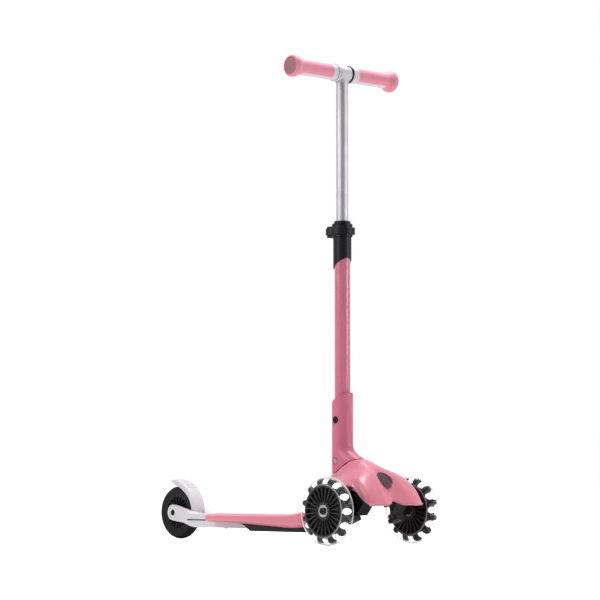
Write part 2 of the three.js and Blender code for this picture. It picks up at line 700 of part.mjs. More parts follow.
function clamp() {
  const centre = -stemSetback;
  const bottom = sleeveTop + gap;
  const [pivotX, pivotY] = [centre + leverPivot[0], leverPivot[1]];
  const tubeBore = outerTubeRadius + gap;
  const slimBore = innerTubeRadius + gap;
  const collarRound = turned('z', [
    [tubeBore, bottom], [collarRadius, bottom], [collarRadius, collarTop], [slimBore, collarTop],
    [slimBore, outerTubeTop + gap], [tubeBore, outerTubeTop + gap],
  ], stem, fineSides);
  const boss = block(centre - bossReach, centre - tubeBore - gap, -bossHalf, bossHalf, bottom,
    leverTop + bossCap);
  const ridge = prism('z', [
    ...arc(centre, 0, leverRadius, ridgeFrom, ridgeTo, 12),
    ...arc(centre, 0, collarRadius - gap, ridgeTo, ridgeFrom, 12),
  ], leverBottom, leverTop);
  const leverRoom = rod('z', leverRootRadius + gap, leverBottom - gap, leverTop + gap, [pivotX, pivotY, 0]);
  const leverSide = block(centre - bossReach - overrun, centre - collarRadius + 3 * gap,
    -bossHalf - overrun, pivotY, leverBottom - gap, leverTop + gap);
  const bandRoom = prism('z', [
    ...arc(centre, 0, leverRadius + gap, bandRoomFrom, leverTip, bandSteps),
    ...arc(centre, 0, collarRadius, leverTip, bandRoomFrom, bandSteps),
  ], leverBottom - gap, leverTop + gap);
  const pinWay = rod('z', leverPinRadius + gap, sleeveTop, collarTop, [pivotX, pivotY, 0], smallSides);
  const collar = collarRound.add(boss).add(ridge).subtract(leverRoom).subtract(leverSide)
    .subtract(bandRoom).subtract(pinWay);
  addPiece('clamp_collar', black, collar);

  addPiece('clamp_ring', black,
    ring('z', clampRingRadius, slimBore, collarTop + gap, clampRingTop, stem, fineSides));

  const inner = collarRadius + 1.5 * gap;
  const band = prism('z', [
    ...arc(centre, 0, leverRadius, bandFrom, leverTip, bandSteps),
    ...arc(centre, 0, inner, leverTip, bandFrom, bandSteps),
  ], leverBottom, leverTop);
  const root = rod('z', leverRootRadius, leverBottom, leverTop, [pivotX, pivotY, 0]);
  const leverPinWay = rod('z', leverPinRadius + gap, leverBottom - overrun, leverTop + overrun,
    [pivotX, pivotY, 0], smallSides);
  addPiece('clamp_lever', black, band.add(root).subtract(leverPinWay));

  addPiece('clamp_pin', steel,
    rod('z', leverPinRadius, bottom + gap, leverTop + overrun, [pivotX, pivotY, 0], smallSides));
}

// The handlebar
const jointRadius = 14;
const jointHalf = 13.4;
const jointStep = 1.5;
const jointSocketDrop = 16;
const jointSocketBottom = handleHeight - jointSocketDrop;
const ringThickness = 2.4;
const handleCollarRadius = 16;
const handleCollarLength = 4;
const handleRadius = 14;
const padDepth = 2.4;
const padStart = 33;
const padEndMargin = 23;
const stripHalf = 8;
const bulbRadius = 19.7;
const bulbLength = 19;
// The bulb's profile: share of its radius, share of its length from the end face
const bulbShares = [[0.87, 0], [0.96, 0.06], [1, 0.16], [1, 0.42], [0.95, 0.6], [0.84, 0.76], [0.74, 0.88],
  [0.715, 1]];
const capRadius = 15.5;
const capThickness = 1.4;
const handleCoreMargin = 11;

function handlebar() {
  const centre = -stemSetback;
  const axis = [centre, 0, handleHeight];
  const socketOuter = jointRadius - jointStep;
  const tubeTop = handleHeight - jointRadius / 2;
  const outerFace = handleSpan / 2;
  const padEnd = outerFace - padEndMargin;
  const handleCore = outerFace - handleCoreMargin;
  const joint = rod('y', jointRadius, -jointHalf, jointHalf, axis, fineSides)
    .add(rod('z', socketOuter, jointSocketBottom, handleHeight, stem, fineSides))
    .subtract(rod('z', innerTubeRadius + gap, jointSocketBottom - overrun, tubeTop + gap, stem, fineSides));
  addPiece('t_joint', white, joint);
  addPiece('inner_tube', aluminium,
    ring('z', innerTubeRadius, innerTubeBore, innerTubeBottom, tubeTop, stem, fineSides));

  for (const side of [-1, 1]) {
    const sideName = side > 0 ? 'left' : 'right';
    const half = new THREE.Group();
    half.position.set(centre, 0, handleHeight);
    half.rotation.z = side > 0 ? Math.PI : 0;
    scooter.add(half);
    const ringFrom = jointHalf + gap;
    const ringTo = ringFrom + ringThickness;
    const origin = [0, 0, 0];
    addPiece(`handle_ring_${sideName}`, black,
      rod('y', jointRadius, -ringTo, -ringFrom, origin, plainSides), half);

    const base = ringTo + gap;
    const bareRadius = handleRadius - padDepth;
    const strip = block(-stripHalf, stripHalf, -padEnd + gap, -padStart, -handleRadius, 0)
      .intersect(rod('y', handleRadius, -padEnd, -padStart, origin));
    const bar = rod('y', bareRadius - gap, -handleCore, -base, origin)
      .add(rod('y', handleCollarRadius, -base - handleCollarLength, -base, origin))
      .add(rod('y', handleRadius, -padStart + gap, -base, origin))
      .add(strip);
    addPiece(`handle_${sideName}`, white, bar, half);

    const bulb = turned('y', [
      [0, -outerFace],
      ...bulbShares.map(([radius, along]) => [radius * bulbRadius, -outerFace + along * bulbLength]),
      [handleRadius, -padEnd], [0, -padEnd],
    ], origin, fineSides);
    const sectorCut = block(-stripHalf - gap, stripHalf + gap, -padEnd, -padStart + overrun,
      -2 * handleRadius, 0);
    const pad = ring('y', handleRadius, bareRadius, -padEnd - gap, -padStart, origin)
      .subtract(sectorCut);
    const coreWay = rod('y', bareRadius, -handleCore - gap, -padEnd + overrun, origin);
    const capWay = rod('y', capRadius + gap, -outerFace - overrun, -outerFace + capThickness + gap, origin,
      fineSides);
    addPiece(`grip_${sideName}`, pinkSoft, bulb.subtract(coreWay).subtract(capWay).add(pad), half);
    const cap = rod('y', capRadius, -outerFace + gap, -outerFace + capThickness, origin, fineSides);
    addPiece(`grip_cap_${sideName}`, pinkDeep, cap, half);
  }
}

// The nose shell, its bare disc and the steering housing under it
const pedestalFoot = [0.968, 0.227, 0.4];
const pedestalArchShares = [0.35, 0.5];
const pedestalShares = [
  [0.933, 0.855, 0.287, 0.533], [0.876, 0.742, 0.34, 0.667], [0.829, 0.613, 0.36, 0.78],
  [0.762, 0.516, 0.38, 0.813], [0.59, 0.484, 0.4, 0.813], [0.495, 0.484, 0.413, 0.8],
];
const pedestalFront = { from: -66, to: -36, half: 27, bottom: 66 };
const badgeForward = 31.8;
const badgeHeight = 112;
const badgeRadius = 16.5;
const badgeThickness = 2;
const badgeLean = 36;
const badgePlace = [badgeForward, 0, badgeHeight];
const badgeSeat = 1.5;
const housingFront = 47;
const housingRear = -14;
const housingChamfer = 7;
const housingLobeRear = 20;
const housingHalf = 57;
const housingCentreHalf = 29;
const housingCentreBottom = 76;
const housingBottom = 51;
const webHalf = 47;
const webRear = -4;
const cheekFrom = 45.5;
const cheekTo = 50.5;
const cheekRear = 2;

function noseParts() {
  const centre = -stemSetback;
  const hood = panel(hoodRows(), [0, 0, 0], [-hoodWall, 0, -hoodWall]);
  const station = (x, [half, bottom, top]) => archRing(x, (half * deckWidth) / 2, bottom * hoodHeight,
    top * hoodHeight, pedestalArchShares);
  const pedestal = loft([
    station(deckFront + gap, pedestalFoot),
    ...pedestalShares.map(([x, ...size]) => station(x * deckFront, size)),
  ]);
  const belowHood = panel(hoodRows(), [0, 0, 0], [0, 0, -2 * frontRadius]);
  const front = block(pedestalFront.from, pedestalFront.to, -pedestalFront.half, pedestalFront.half,
    pedestalFront.bottom, pivotHeight + neckRadius).intersect(belowHood);
  const socket = rod('y', socketRadius + gap, -neckHalf - 2 * gap, neckHalf + 2 * gap,
    [centre, 0, pivotHeight], fineSides);
  const [partingRear, partingFront] = [partingLine[0], partingLine.at(-1)];
  const above = prism('y', [
    ...partingLine.map(([x, z]) => [x, z - gap]), [partingFront[0] + neckRadius, partingFront[1] - gap],
    [partingFront[0] + neckRadius, partingFront[1] + neckRadius],
      [partingRear[0] - neckRadius, partingFront[1] + neckRadius],
    [partingRear[0] - neckRadius, partingRear[1] - gap],
  ], -2 * neckRadius, 2 * neckRadius).intersect(neckForm(2 * gap));
  const pocket = block(centre - hingeBaseHalf - gap, centre + hingeBaseHalf + gap, -cheekInner, cheekInner,
    hingeBase - gap, pivotHeight);
  const badgeWay = geometryOf(rod('x', badgeRadius + gap, badgeSeat - gap, badgeSeat + badgeRadius,
    [0, 0, 0]));
  badgeWay.deleteAttribute('normal');
  badgeWay.rotateY(-THREE.MathUtils.degToRad(badgeLean));
  badgeWay.translate(...badgePlace);
  const shell = hood.add(pedestal).add(front).subtract(socket).subtract(above).subtract(pocket)
    .subtract(solid(badgeWay));
  addPiece('nose_shell', pink, shell);

  const lobe = prism('y', rounded([
    [housingLobeRear, housingBottom], [housingFront - housingChamfer, housingBottom],
    [housingFront, housingBottom + 2 * housingChamfer], [housingFront, 2 * frontRadius],
      [housingLobeRear, 2 * frontRadius],
  ], housingChamfer / 2), -housingHalf, housingHalf);
  const between = block(housingLobeRear - overrun, housingFront + overrun, -housingCentreHalf,
    housingCentreHalf, housingBottom - overrun, housingCentreBottom);
  const roof = block(housingRear, housingLobeRear + overrun, -housingCentreHalf, housingCentreHalf,
    housingCentreBottom, 2 * frontRadius);
  const under = -hoodWall - 2 * gap;
  const room = panel(hoodRows(), [under, 0, under], [under, 0, under - 2 * frontRadius]);
  const [low, high] = [-knuckleLow - gap - earThickness, knuckleHigh + gap + earThickness];
  const web = prism('z', rounded([
    [webRear, -webHalf], [earHalf, -webHalf], [earHalf, webHalf], [webRear, webHalf],
  ], earHalf / 4), high - earThickness, high);
  let cross = leaned(lobe.subtract(between).add(roof).intersect(room)).add(web);
  for (const side of [-1, 1]) {
    for (const bottom of [low, high - earThickness]) {
      cross = cross.add(prism('z', [
        [-earHalf, side * cheekFrom], ...arc(0, side * kingpinOffset, earHalf, 180, side > 0 ? 0 : 360, 10),
        [earHalf, side * cheekFrom],
      ], bottom, bottom + earThickness));
    }
    const [from, to] = side > 0 ? [cheekFrom, cheekTo] : [-cheekTo, -cheekFrom];
    cross = cross.add(block(cheekRear, earHalf, from, to, low, high));
    const pivot = [0, side * kingpinOffset, 0];
    cross = cross.subtract(rod('z', kingpinRadius + gap, low - overrun, high + overrun, pivot, smallSides));
  }
  addPiece('crossmember', black, cross, steering);

  const lean = THREE.MathUtils.degToRad(badgeLean);
  const badge = new THREE.Group();
  badge.position.set(...badgePlace);
  badge.rotation.y = -lean;
  scooter.add(badge);
  addPiece('badge_disc', badgeGrey, rod('x', badgeRadius, badgeSeat, badgeSeat + badgeThickness, [0, 0, 0]),
    badge);
}

// The deck with its mat and under-tray
const deckHeight = 47;
// Side view lines of the deck: share of its length from the front, share of its height
const deckBottomShares = [[1, 0.745], [0.739, 0.723], [0.602, 0.696], [0.133, 0.57], [0.034, 0.636],
  [0, 0.638]];
const deckTopShares = [[1, 0.979], [0.739, 1], [0.36, 1], [0.182, 1.011], [0.095, 1.074], [0.034, 1.164],
  [0, 1.213]];
const deckLine = (shares) => shares.map(([x, z]) => [deckFront + x * (deckRear - deckFront), z * deckHeight]);
const deckBottomLine = deckLine(deckBottomShares);
const deckTopLine = deckLine(deckTopShares);
const deckCrown = 4;
const deckCrownWidthShare = 0.86;
const deckEndRadius = 8;
const deckShoulder = 14;
const deckShoulderIn = 8;
const railHalf = 38;
const railInner = 22;
const railTop = 40;
const railRun = 165;
const railEnd = deckRear + railRun;
const matRearMargin = 11;
const matFrontMargin = 35;
const matFrom = deckRear + matRearMargin;
const matTo = deckFront - matFrontMargin;
const matHalf = 48;
const matThickness = 1.8;
const matSink = 0.9;
const matGroove = 0.7;
const matGrooves = 7;
const matGrooveWidth = 1.6;
const trayHalf = 46;
const trayWall = 6.6;
const trayFloor = 3.6;
const trayBottom = 19.5;
const trayRearShare = 0.602;
const trayRear = deckFront + trayRearShare * (deckRear - deckFront);
const trayFront = deckFront - gap;
const trayLip = 11;
const trayLipHeight = 29;
const traySlope = 19;
const trayNose = 9;

function heightOn(line, x) {
  const i = Math.max(1, line.findIndex(([lx]) => lx >= x));
  const [[x0, z0], [x1, z1]] = [line[i - 1], line[i]];
  return z0 + ((z1 - z0) * (x - x0)) / (x1 - x0);
}

function deckParts() {
  const half = deckWidth / 2;
  const inner = half * deckCrownWidthShare;
  const stations = new Set([...deckBottomLine, ...deckTopLine].map(([x]) => x));
  const rings = [...stations].sort((a, b) => a - b).map((x) => {
    const low = heightOn(deckBottomLine, x);
    const high = heightOn(deckTopLine, x);
    const crown = high + deckCrown;
    return [[x, -inner, low], [x, inner, low], [x, half, low + deckCrown], [x, half, high],
      [x, inner, crown], [x, -inner, crown], [x, -half, high], [x, -half, low + deckCrown]];
  });
  const plan = prism('z', rounded([
    [deckRear, -half], [deckFront - deckShoulder, -half], [deckFront, -half + deckShoulderIn],
    [deckFront, half - deckShoulderIn], [deckFront - deckShoulder, half], [deckRear, half],
  ], deckEndRadius, 6), 0, 2 * frontRadius);
  const channel = block(deckRear - overrun, railEnd + overrun, -railHalf - gap, railHalf + gap, 0,
    railTop + gap);
  const bed = deckHeight + deckCrown - matSink;
  const matBed = block(matFrom - gap, matTo + gap, -matHalf - gap, matHalf + gap, bed, 2 * frontRadius);
  const shell = loft(rings).intersect(plan).subtract(channel).subtract(matBed);
  addPiece('deck_shell', pink, shell);

  const matBottom = bed + gap;
  let mat = prism('z', rounded([
    [matFrom, -matHalf], [matTo, -matHalf], [matTo, matHalf], [matFrom, matHalf],
  ], deckEndRadius / 2), matBottom, matBottom + matThickness);
  for (let i = 0; i < matGrooves; i += 1) {
    const y = -matHalf + ((i + 1) * 2 * matHalf) / (matGrooves + 1);
    mat = mat.subtract(block(
      matFrom + deckEndRadius, matTo - deckEndRadius, y - matGrooveWidth / 2, y + matGrooveWidth / 2,
      matBottom + matThickness - matGroove, matBottom + matThickness + overrun,
    ));
  }
  addPiece('deck_mat', matting, mat);

  const underDeck = deckBottomLine.filter(([x]) => x > trayRear + trayLip && x < deckFront).reverse();
  const tray = prism('y', [
    [trayRear, heightOn(deckBottomLine, trayRear) - gap], [trayRear + trayLip, trayLipHeight],
    [trayRear + traySlope, trayBottom], [trayFront - trayNose, trayBottom],
    [trayFront, heightOn(deckBottomLine, trayFront) - gap], ...underDeck.map(([x, z]) => [x, z - gap]),
  ], -trayHalf, trayHalf).subtract(block(trayRear - overrun, trayFront - trayNose - trayWall,
    -railHalf - 2 * gap, railHalf + 2 * gap, trayBottom + trayFloor, 2 * frontRadius));
  addPiece('under_tray', black, tray);
}

// The rear frame that slides out of the deck, the rear wheel and the foot brake
const frameTop = 48.5;
const railBottom = 23.6;
const armEndRadius = 15;
const armHalf = 21;
const armInner = 13.6;
const armArcFrom = 76;
const armArcTo = 244;
// The arm's outline, in shares of the rear radius from the axle: forward, up
const armTopShares = [[0.36, 0.24], [0.76, 0.14], [1.36, -0.02]];
const armUnderShares = [[0.2, -0.33], [0.66, -0.37], [1.26, -0.475], [1.66, -0.525]];
// Its plan: share of the rear radius forward of the axle, share of the way from arm to rail width
const armFlareShares = [[0.32, 0], [0.6, 0.1], [0.92, 0.37], [1.2, 0.7], [1.44, 0.94], [1.68, 1]];
const wheelRoom = 5;
const crossbar = 18;
const grooveForward = 61;
const grooveLength = 53;
const grooveFrom = grooveForward - wheelbase;
const grooveTo = grooveFrom + grooveLength;
const grooveHeight = 37.6;
const grooveWidth = 1.6;
const grooveDepth = 1;
const rearBoltHead = 5.6;
const rearBoltSink = 3;
const fenderPivotForward = 61.5;
const fenderPivotDrop = 8;
const fenderPivot = [-wheelbase + fenderPivotForward, frameTop - fenderPivotDrop];
const fenderPinRadius = 2.5;
const fenderLug = 5;
const fenderLugHalf = 9;
const fenderPinHalf = 14.7;
const fenderHalf = 14.8;
const fenderWall = 2.2;
const fenderFrontClear = 1.8;
const fenderSeat = 4;
const fenderRise = 10;
const fenderFrom = -2;
const fenderTo = 101;
const fenderLipDrop = 4.5;
const fenderLipReach = 8.5;
const fenderLipWall = 2.2;
const releaseForward = 23;
const releaseOffset = 30;
const releasePlace = [deckRear + releaseForward, -releaseOffset];
const releaseRadius = 4;
const releaseProud = 1.6;
const rearCoreRadius = 33;
const rearCoreWidth = 20;
const rearSlots = 20;
const rearSlotInner = 15.5;
const rearSlotWidth = 4;

function rearFrame() {
  const axle = [-wheelbase, 0, rearRadius];
  const about = ([x, z]) => [-wheelbase + x * rearRadius, rearRadius + z * rearRadius];
  const side = prism('y', [
    ...arc(-wheelbase, rearRadius, armEndRadius, armArcFrom, armArcTo, 12), ...armUnderShares.map(about),
    [railEnd, railBottom], [railEnd, railTop], [deckRear - gap, railTop], [deckRear - gap, frameTop],
    ...armTopShares.map(about).reverse(),
  ], -railHalf, railHalf);
  const flare = armFlareShares
    .map(([x, share]) => [-wheelbase + x * rearRadius, armHalf + share * (railHalf - armHalf)]);
  const plan = prism('z', [
    [-wheelbase - rearRadius, -armHalf], ...flare.map(([x, y]) => [x, -y]), [railEnd, -railHalf],
    [railEnd, railHalf], ...flare.reverse(), [-wheelbase - rearRadius, armHalf],
  ], 0, 2 * frontRadius);
  const wheelWay = block(-wheelbase - 2 * rearRadius, -wheelbase + rearRadius + wheelRoom, -armInner,
    armInner, 0, 2 * frontRadius);
  const railWay = block(deckRear - crossbar, railEnd - crossbar, -railInner, railInner, 0, railTop + overrun)
    .add(block(deckRear - 4 * crossbar, deckRear, -railInner, railInner, 0, railTop - crossbar / 2));
  let frame = side.intersect(plan).subtract(wheelWay).subtract(railWay);
  frame = frame.subtract(rod('y', bearingBore, -armHalf - overrun, armHalf + overrun, axle, smallSides));
  for (const s of [-1, 1]) {
    const [from, to] = s > 0
      ? [armHalf - rearBoltSink, armHalf + overrun] : [-armHalf - overrun, -armHalf + rearBoltSink];
    frame = frame.subtract(rod('y', rearBoltHead + gap, from, to, axle, smallSides));
    const [low, high] = s > 0
      ? [railHalf - grooveDepth, railHalf + overrun] : [-railHalf - overrun, -railHalf + grooveDepth];
    frame = frame.subtract(block(grooveFrom, grooveTo, low, high, grooveHeight - grooveWidth / 2,
      grooveHeight + grooveWidth / 2));
  }
  const fenderRoom = fenderPivot[0] + fenderLug + 2 * gap;
  const fenderFront = rearRadius + fenderFrontClear + fenderWall;
  frame = frame.subtract(block(-wheelbase, -wheelbase + fenderFront + 2 * gap, -fenderHalf - gap,
    fenderHalf + gap, rearRadius - fenderSeat, 2 * frontRadius));
  frame = frame.subtract(block(-wheelbase, fenderRoom, -fenderLugHalf, fenderLugHalf,
    fenderPivot[1] - fenderLug - 2 * gap, 2 * frontRadius));
  const pivot = [fenderPivot[0], 0, fenderPivot[1]];
  frame = frame.subtract(rod('y', fenderPinRadius + gap, -fenderPinHalf - gap, fenderPinHalf + gap, pivot,
    smallSides));
  const release = [releasePlace[0], releasePlace[1], 0];
  frame = frame.subtract(rod('z', releaseRadius + gap, railBottom - overrun, railTop + overrun, release,
    smallSides));
  addPiece('rear_frame', white, frame);

  addPiece('extension_button', white,
    rod('z', releaseRadius, railBottom - releaseProud, railTop - 3 * overrun, release, smallSides));
  addPiece('fender_pin', steel, rod('y', fenderPinRadius, -fenderPinHalf, fenderPinHalf, pivot, smallSides));

  const shank = armHalf - rearBoltSink;
  const bolt = rod('y', bearingBore - gap, -shank - gap, shank - gap, axle, smallSides)
    .add(rod('y', rearBoltHead, -armHalf + gap, -shank - gap, axle, smallSides))
    .subtract(rod('y', axleSocketRadius, -armHalf - overrun, -armHalf + axleSocketDepth, axle, 6));
  addPiece('rear_axle', black, bolt);
  const nut = rod('y', rearBoltHead, shank + gap, armHalf - gap, axle, smallSides)
    .subtract(rod('y', axleSocketRadius, armHalf - axleSocketDepth, armHalf + overrun, axle, 6));
  addPiece('rear_axle_nut', black, nut);
}

function fender() {
  const steps = 16;
  // The fender rises away from the tyre towards its tail, and its lips stay near the tyre
  const curve = (extra) => {
    const points = [];
    for (let i = 0; i <= steps; i += 1) {
      const along = i / steps;
      const angle = fenderFrom + (fenderTo - fenderFrom) * along;
      const rise = fenderRise * along ** 2;
      const radius = rearRadius + fenderFrontClear + rise + extra(along);
      points.push(...arc(-wheelbase, rearRadius, radius, angle, angle, 1).slice(0, 1));
    }
    return points;
  };
  const shell = (outer, inner, from, to) => (
    prism('y', [...curve(outer), ...curve(inner).reverse()], from, to));
  const [skin, wall] = [() => 0, () => fenderWall];
  const lipSwell = fenderLipReach - fenderLipDrop;
  const lipEdge = (along) => -fenderLipDrop - lipSwell * Math.sin(Math.PI * along ** 2);
  const lipRoot = () => fenderWall / 2;
  const [px, pz] = fenderPivot;
  const half = fenderLugHalf - gap;
  const front = -wheelbase + rearRadius + fenderFrontClear;
  const eye = rod('y', fenderLug, -half, half, [px, 0, pz], smallSides);
  const foot = prism('y', [
    [front, rearRadius], [front, pz], [px, pz - fenderLug / 2], [px, pz + fenderLug],
      [front + fenderWall, rearRadius],
  ], -half, half);
  const body = shell(wall, skin, -fenderHalf, fenderHalf)
    .add(shell(lipRoot, lipEdge, -fenderHalf, -fenderHalf + fenderLipWall))
    .add(shell(lipRoot, lipEdge, fenderHalf - fenderLipWall, fenderHalf))
    .add(eye).add(foot)
    .subtract(rod('y', fenderPinRadius + gap, -fenderHalf, fenderHalf, [px, 0, pz], smallSides));
  addPiece('fender', white, body);
}

function rearWheel() {
  const wheel = new THREE.Group();
  wheel.position.set(-wheelbase, 0, rearRadius);
  scooter.add(wheel);
  const half = rearCoreWidth / 2;
  const bore = bearingRadius + gap;
  const stop = half - bearingWidth - gap;
  const shaftWay = bearingBore + 1.5 * gap;
  let core = turned('y', [
    [bore, -half], [rearCoreRadius, -half], [rearCoreRadius, half], [bore, half],
    [bore, stop], [shaftWay, stop], [shaftWay, -stop], [bore, -stop],
  ], [0, 0, 0], fineSides);
  core = slotted(core, {
    slots: rearSlots, inner: rearSlotInner, outer: rearCoreRadius - frontRimWidth,
    width: rearSlotWidth, face: half, web: frontWeb,
  });
  addPiece('rear_core', black, core, wheel);
  const wide = rearWidth / 2;
  const tyre = turned('y', [
    [rearCoreRadius + gap, -half], [rearRadius - tyreWallDrop, -wide],
      [rearRadius - tyreCheekDrop, -tyreCheek],
    [rearRadius - tyreShoulderDrop, -tyreShoulder], [rearRadius, -tyreShoulder / 3],
    [rearRadius, tyreShoulder / 3], [rearRadius - tyreShoulderDrop, tyreShoulder],
    [rearRadius - tyreCheekDrop, tyreCheek], [rearRadius - tyreWallDrop, wide], [rearCoreRadius + gap, half],
  ], [0, 0, 0], fineSides);
  addPiece('rear_tyre', rubber, tyre, wheel);
  addPiece('rear_bearing_left', steel, bearing(half, 1), wheel);
  addPiece('rear_bearing_right', steel, bearing(-half, -1), wheel);
}

deckParts();
noseParts();
foldHinge();
neck();
stemTubes();
clamp();
handlebar();
for (const side of [-1, 1]) {
  knuckle(side);
  frontWheel(side);
}
tieRod();
rearFrame();
rearWheel();
fender();

export default scooter;
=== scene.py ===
"""The three wheel kids scooter, dressed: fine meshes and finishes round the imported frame."""

import json
import logging
import math
from contextlib import contextmanager
from dataclasses import dataclass, field
from enum import Enum
from typing import Any, Iterable, Iterator, Mapping, Sequence

import bmesh
import bpy
from mathutils import Matrix, Vector


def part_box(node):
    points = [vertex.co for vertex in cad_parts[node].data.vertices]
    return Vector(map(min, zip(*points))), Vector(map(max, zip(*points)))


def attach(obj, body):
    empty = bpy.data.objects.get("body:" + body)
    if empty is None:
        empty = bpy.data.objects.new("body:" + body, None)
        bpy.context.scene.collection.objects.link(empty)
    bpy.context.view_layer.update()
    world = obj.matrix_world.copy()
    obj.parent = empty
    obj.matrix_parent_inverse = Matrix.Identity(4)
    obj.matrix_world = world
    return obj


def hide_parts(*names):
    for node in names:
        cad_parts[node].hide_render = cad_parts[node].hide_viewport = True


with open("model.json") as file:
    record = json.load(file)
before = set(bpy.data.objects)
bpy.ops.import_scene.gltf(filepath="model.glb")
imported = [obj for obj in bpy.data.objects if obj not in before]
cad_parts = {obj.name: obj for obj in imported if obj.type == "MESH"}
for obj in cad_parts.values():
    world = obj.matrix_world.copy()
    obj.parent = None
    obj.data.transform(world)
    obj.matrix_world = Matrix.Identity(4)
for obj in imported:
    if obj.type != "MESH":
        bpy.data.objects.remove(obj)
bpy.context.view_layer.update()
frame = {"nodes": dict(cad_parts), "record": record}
LOG = logging.getLogger("scooter")

MM = 0.001
CREASE = 32.0
FLAT = 0.6
ROUNDING_STEPS = 3
SHORTEST = 1e-4
SOFT_EDGE = 0.0005
Triple = tuple[float, float, float]
Mesh, Object, Material = bpy.types.Mesh, bpy.types.Object, bpy.types.Material
AXLE_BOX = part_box("axle_bolt_right")
AXLE_X = (AXLE_BOX[0].x + AXLE_BOX[1].x) / 2


def at(x: float, y: float, z: float) -> Vector:
    """Return a place in metres.

    Args:
        x: millimetres forward of the front axle.
        y: millimetres to the rider's left.
        z: millimetres above the floor.

    Returns:
        The place in the row frame.
    """
    return Vector((AXLE_X + x * MM, y * MM, z * MM))


class Shade:
    """A shader value: arithmetic on it adds Math nodes to its recipe."""

    def __init__(self, recipe: "Recipe", socket: bpy.types.NodeSocket) -> None:
        """Keep the recipe and the output socket."""
        self.recipe = recipe
        self.socket = socket

    def maths(self, operation: str, other: "Shade | float") -> "Shade":
        """Return a Math node's result for this value and another."""
        return self.recipe.node("ShaderNodeMath", {"operation": operation}, {0: self, 1: other})

    def __add__(self, other: "Shade | float") -> "Shade":
        """Return the sum."""
        return self.maths("ADD", other)

    __radd__ = __add__

    def __mul__(self, other: "Shade | float") -> "Shade":
        """Return the product."""
        return self.maths("MULTIPLY", other)

    __rmul__ = __mul__

    def ramp(self, start: float, end: float, low: float = 0.0, high: float = 1.0) -> "Shade":
        """Return the value brought smoothly from one range to another.

        Args:
            start: the value that gives low.
            end: the value that gives high.
            low: the result at the start.
            high: the result at the end.

        Returns:
            The new value.
        """
        settings = {"interpolation_type": "SMOOTHSTEP"}
        limits = {"From Min": start, "From Max": end, "To Min": low, "To Max": high}
        return self.recipe.node("ShaderNodeMapRange", settings, {"Value": self, **limits})


class Recipe:
    """The nodes of one material or world round its shader."""

    def __init__(self, owner: Material | bpy.types.World, shader: str = "Principled BSDF") -> None:
        """Keep the material or world, and find its shader."""
        owner.use_nodes = True
        self.owner = owner
        self.tree = owner.node_tree
        self.shader = self.tree.nodes[shader]

    def node(self, kind: str, settings: Mapping[str, Any] | None = None,
             values: Mapping[Any, Any] | None = None, out: str | int = 0) -> Shade:
        """Add a node.

        Args:
            kind: the node's type.
            settings: its properties, set first; "stops" holds a ramp's (place, colour) pairs.
            values: numbers, colours or shades for its input sockets.
            out: the name or number of the output wanted.

        Returns:
            That output as a shade.
        """
        made = self.tree.nodes.new(kind)
        for key, setting in (settings or {}).items():
            if key == "stops":
                while len(made.color_ramp.elements) < len(setting):
                    made.color_ramp.elements.new(0.5)
                for element, (place, colour) in zip(made.color_ramp.elements, setting):
                    element.position = place
                    element.color = (*colour, 1)
            else:
                setattr(made, key, setting)
        for key, value in (values or {}).items():
            self.feed(made.inputs[key], value)
        return Shade(self, made.outputs[out])

    def feed(self, socket: bpy.types.NodeSocket, value: Any) -> None:
        """Link or set one input.

        Args:
            socket: the input.
            value: a shade to link, or a number or colour to set.
        """
        if isinstance(value, Shade):
            self.tree.links.new(value.socket, socket)
        elif socket.type == "RGBA" and len(value) == 3:
            socket.default_value = (*value, 1)
        else:
            socket.default_value = value

    def set(self, **values: Any) -> None:
        """Feed the shader's sockets, named with underscores for spaces."""
        for key, value in values.items():
            self.feed(self.shader.inputs[key.replace("_", " ")], value)

    def place(self) -> Shade:
        """Return the object's own coordinates, in metres, which move with the piece."""
        return self.node("ShaderNodeTexCoord", out="Object")

    def noise(self, scale: float, detail: float = 3.0, rough: float = 0.5,
              stretch: Triple = (1, 1, 1), seed: float = 0.0) -> Shade:
        """Return a noise of 0 to 1.

        Args:
            scale: how fine it is, per metre.
            detail: how many octaves it has.
            rough: how strong the fine octaves are.
            stretch: how much the coordinates are stretched.
            seed: a shift that makes two noises differ.

        Returns:
            The noise.
        """
        moved = self.node("ShaderNodeMapping", None,
                          {"Vector": self.place(), "Scale": stretch, "Location": (seed, seed, seed)})
        return self.node("ShaderNodeTexNoise", {"normalize": True},
                         {"Vector": moved, "Scale": scale, "Detail": detail, "Roughness": rough})

    def blend(self, share: "Shade | float", low: Any, high: Any) -> Shade:
        """Return a colour between two.

        Args:
            share: how much of the second colour there is.
            low: the first colour.
            high: the second colour.

        Returns:
            The mixed colour.
        """
        return self.node("ShaderNodeMix", {"data_type": "RGBA"}, {0: share, 6: low, 7: high}, out=2)

    def bump(self, height: Shade, depth: float) -> None:
        """Let a height raise the surface, over softly rounded edges.

        Args:
            height: the height, 0 to 1.
            depth: how far 1 is raised, in metres.
        """
        edge = self.node("ShaderNodeBevel", {"samples": 4}, {"Radius": SOFT_EDGE})
        raised = {"Height": height, "Distance": depth, "Normal": edge}
        self.set(Normal=self.node("ShaderNodeBump", None, raised))


class Slot(Enum):
    """The record's material slots, then three finishes that only the scene has: a lamp glow that is a
    painted highlight, a rim grey, and a darker neck pink that is painted shade.
    """

    PINK = "pink_plastic"
    PAINT = "pink_paint"
    SOFT = "pink_soft"
    DEEP = "pink_deep"
    WHITE = "white_plastic"
    MAT = "mat"
    BLACK = "black_plastic"
    RUBBER = "rubber_tyre"
    HUB = "hub_grey"
    CLEAR = "clear_tyre"
    LIGHTS = "light_ring"
    BADGE = "badge"
    ALUMINIUM = "aluminium"
    STEEL = "steel"
    # The lamps' white glow: a painted highlight.
    GLOW = "glow"
    RIM = "rim"
    # A darker copy of the pink plastic for the neck: painted shade.
    SHADED_NECK = "neck"


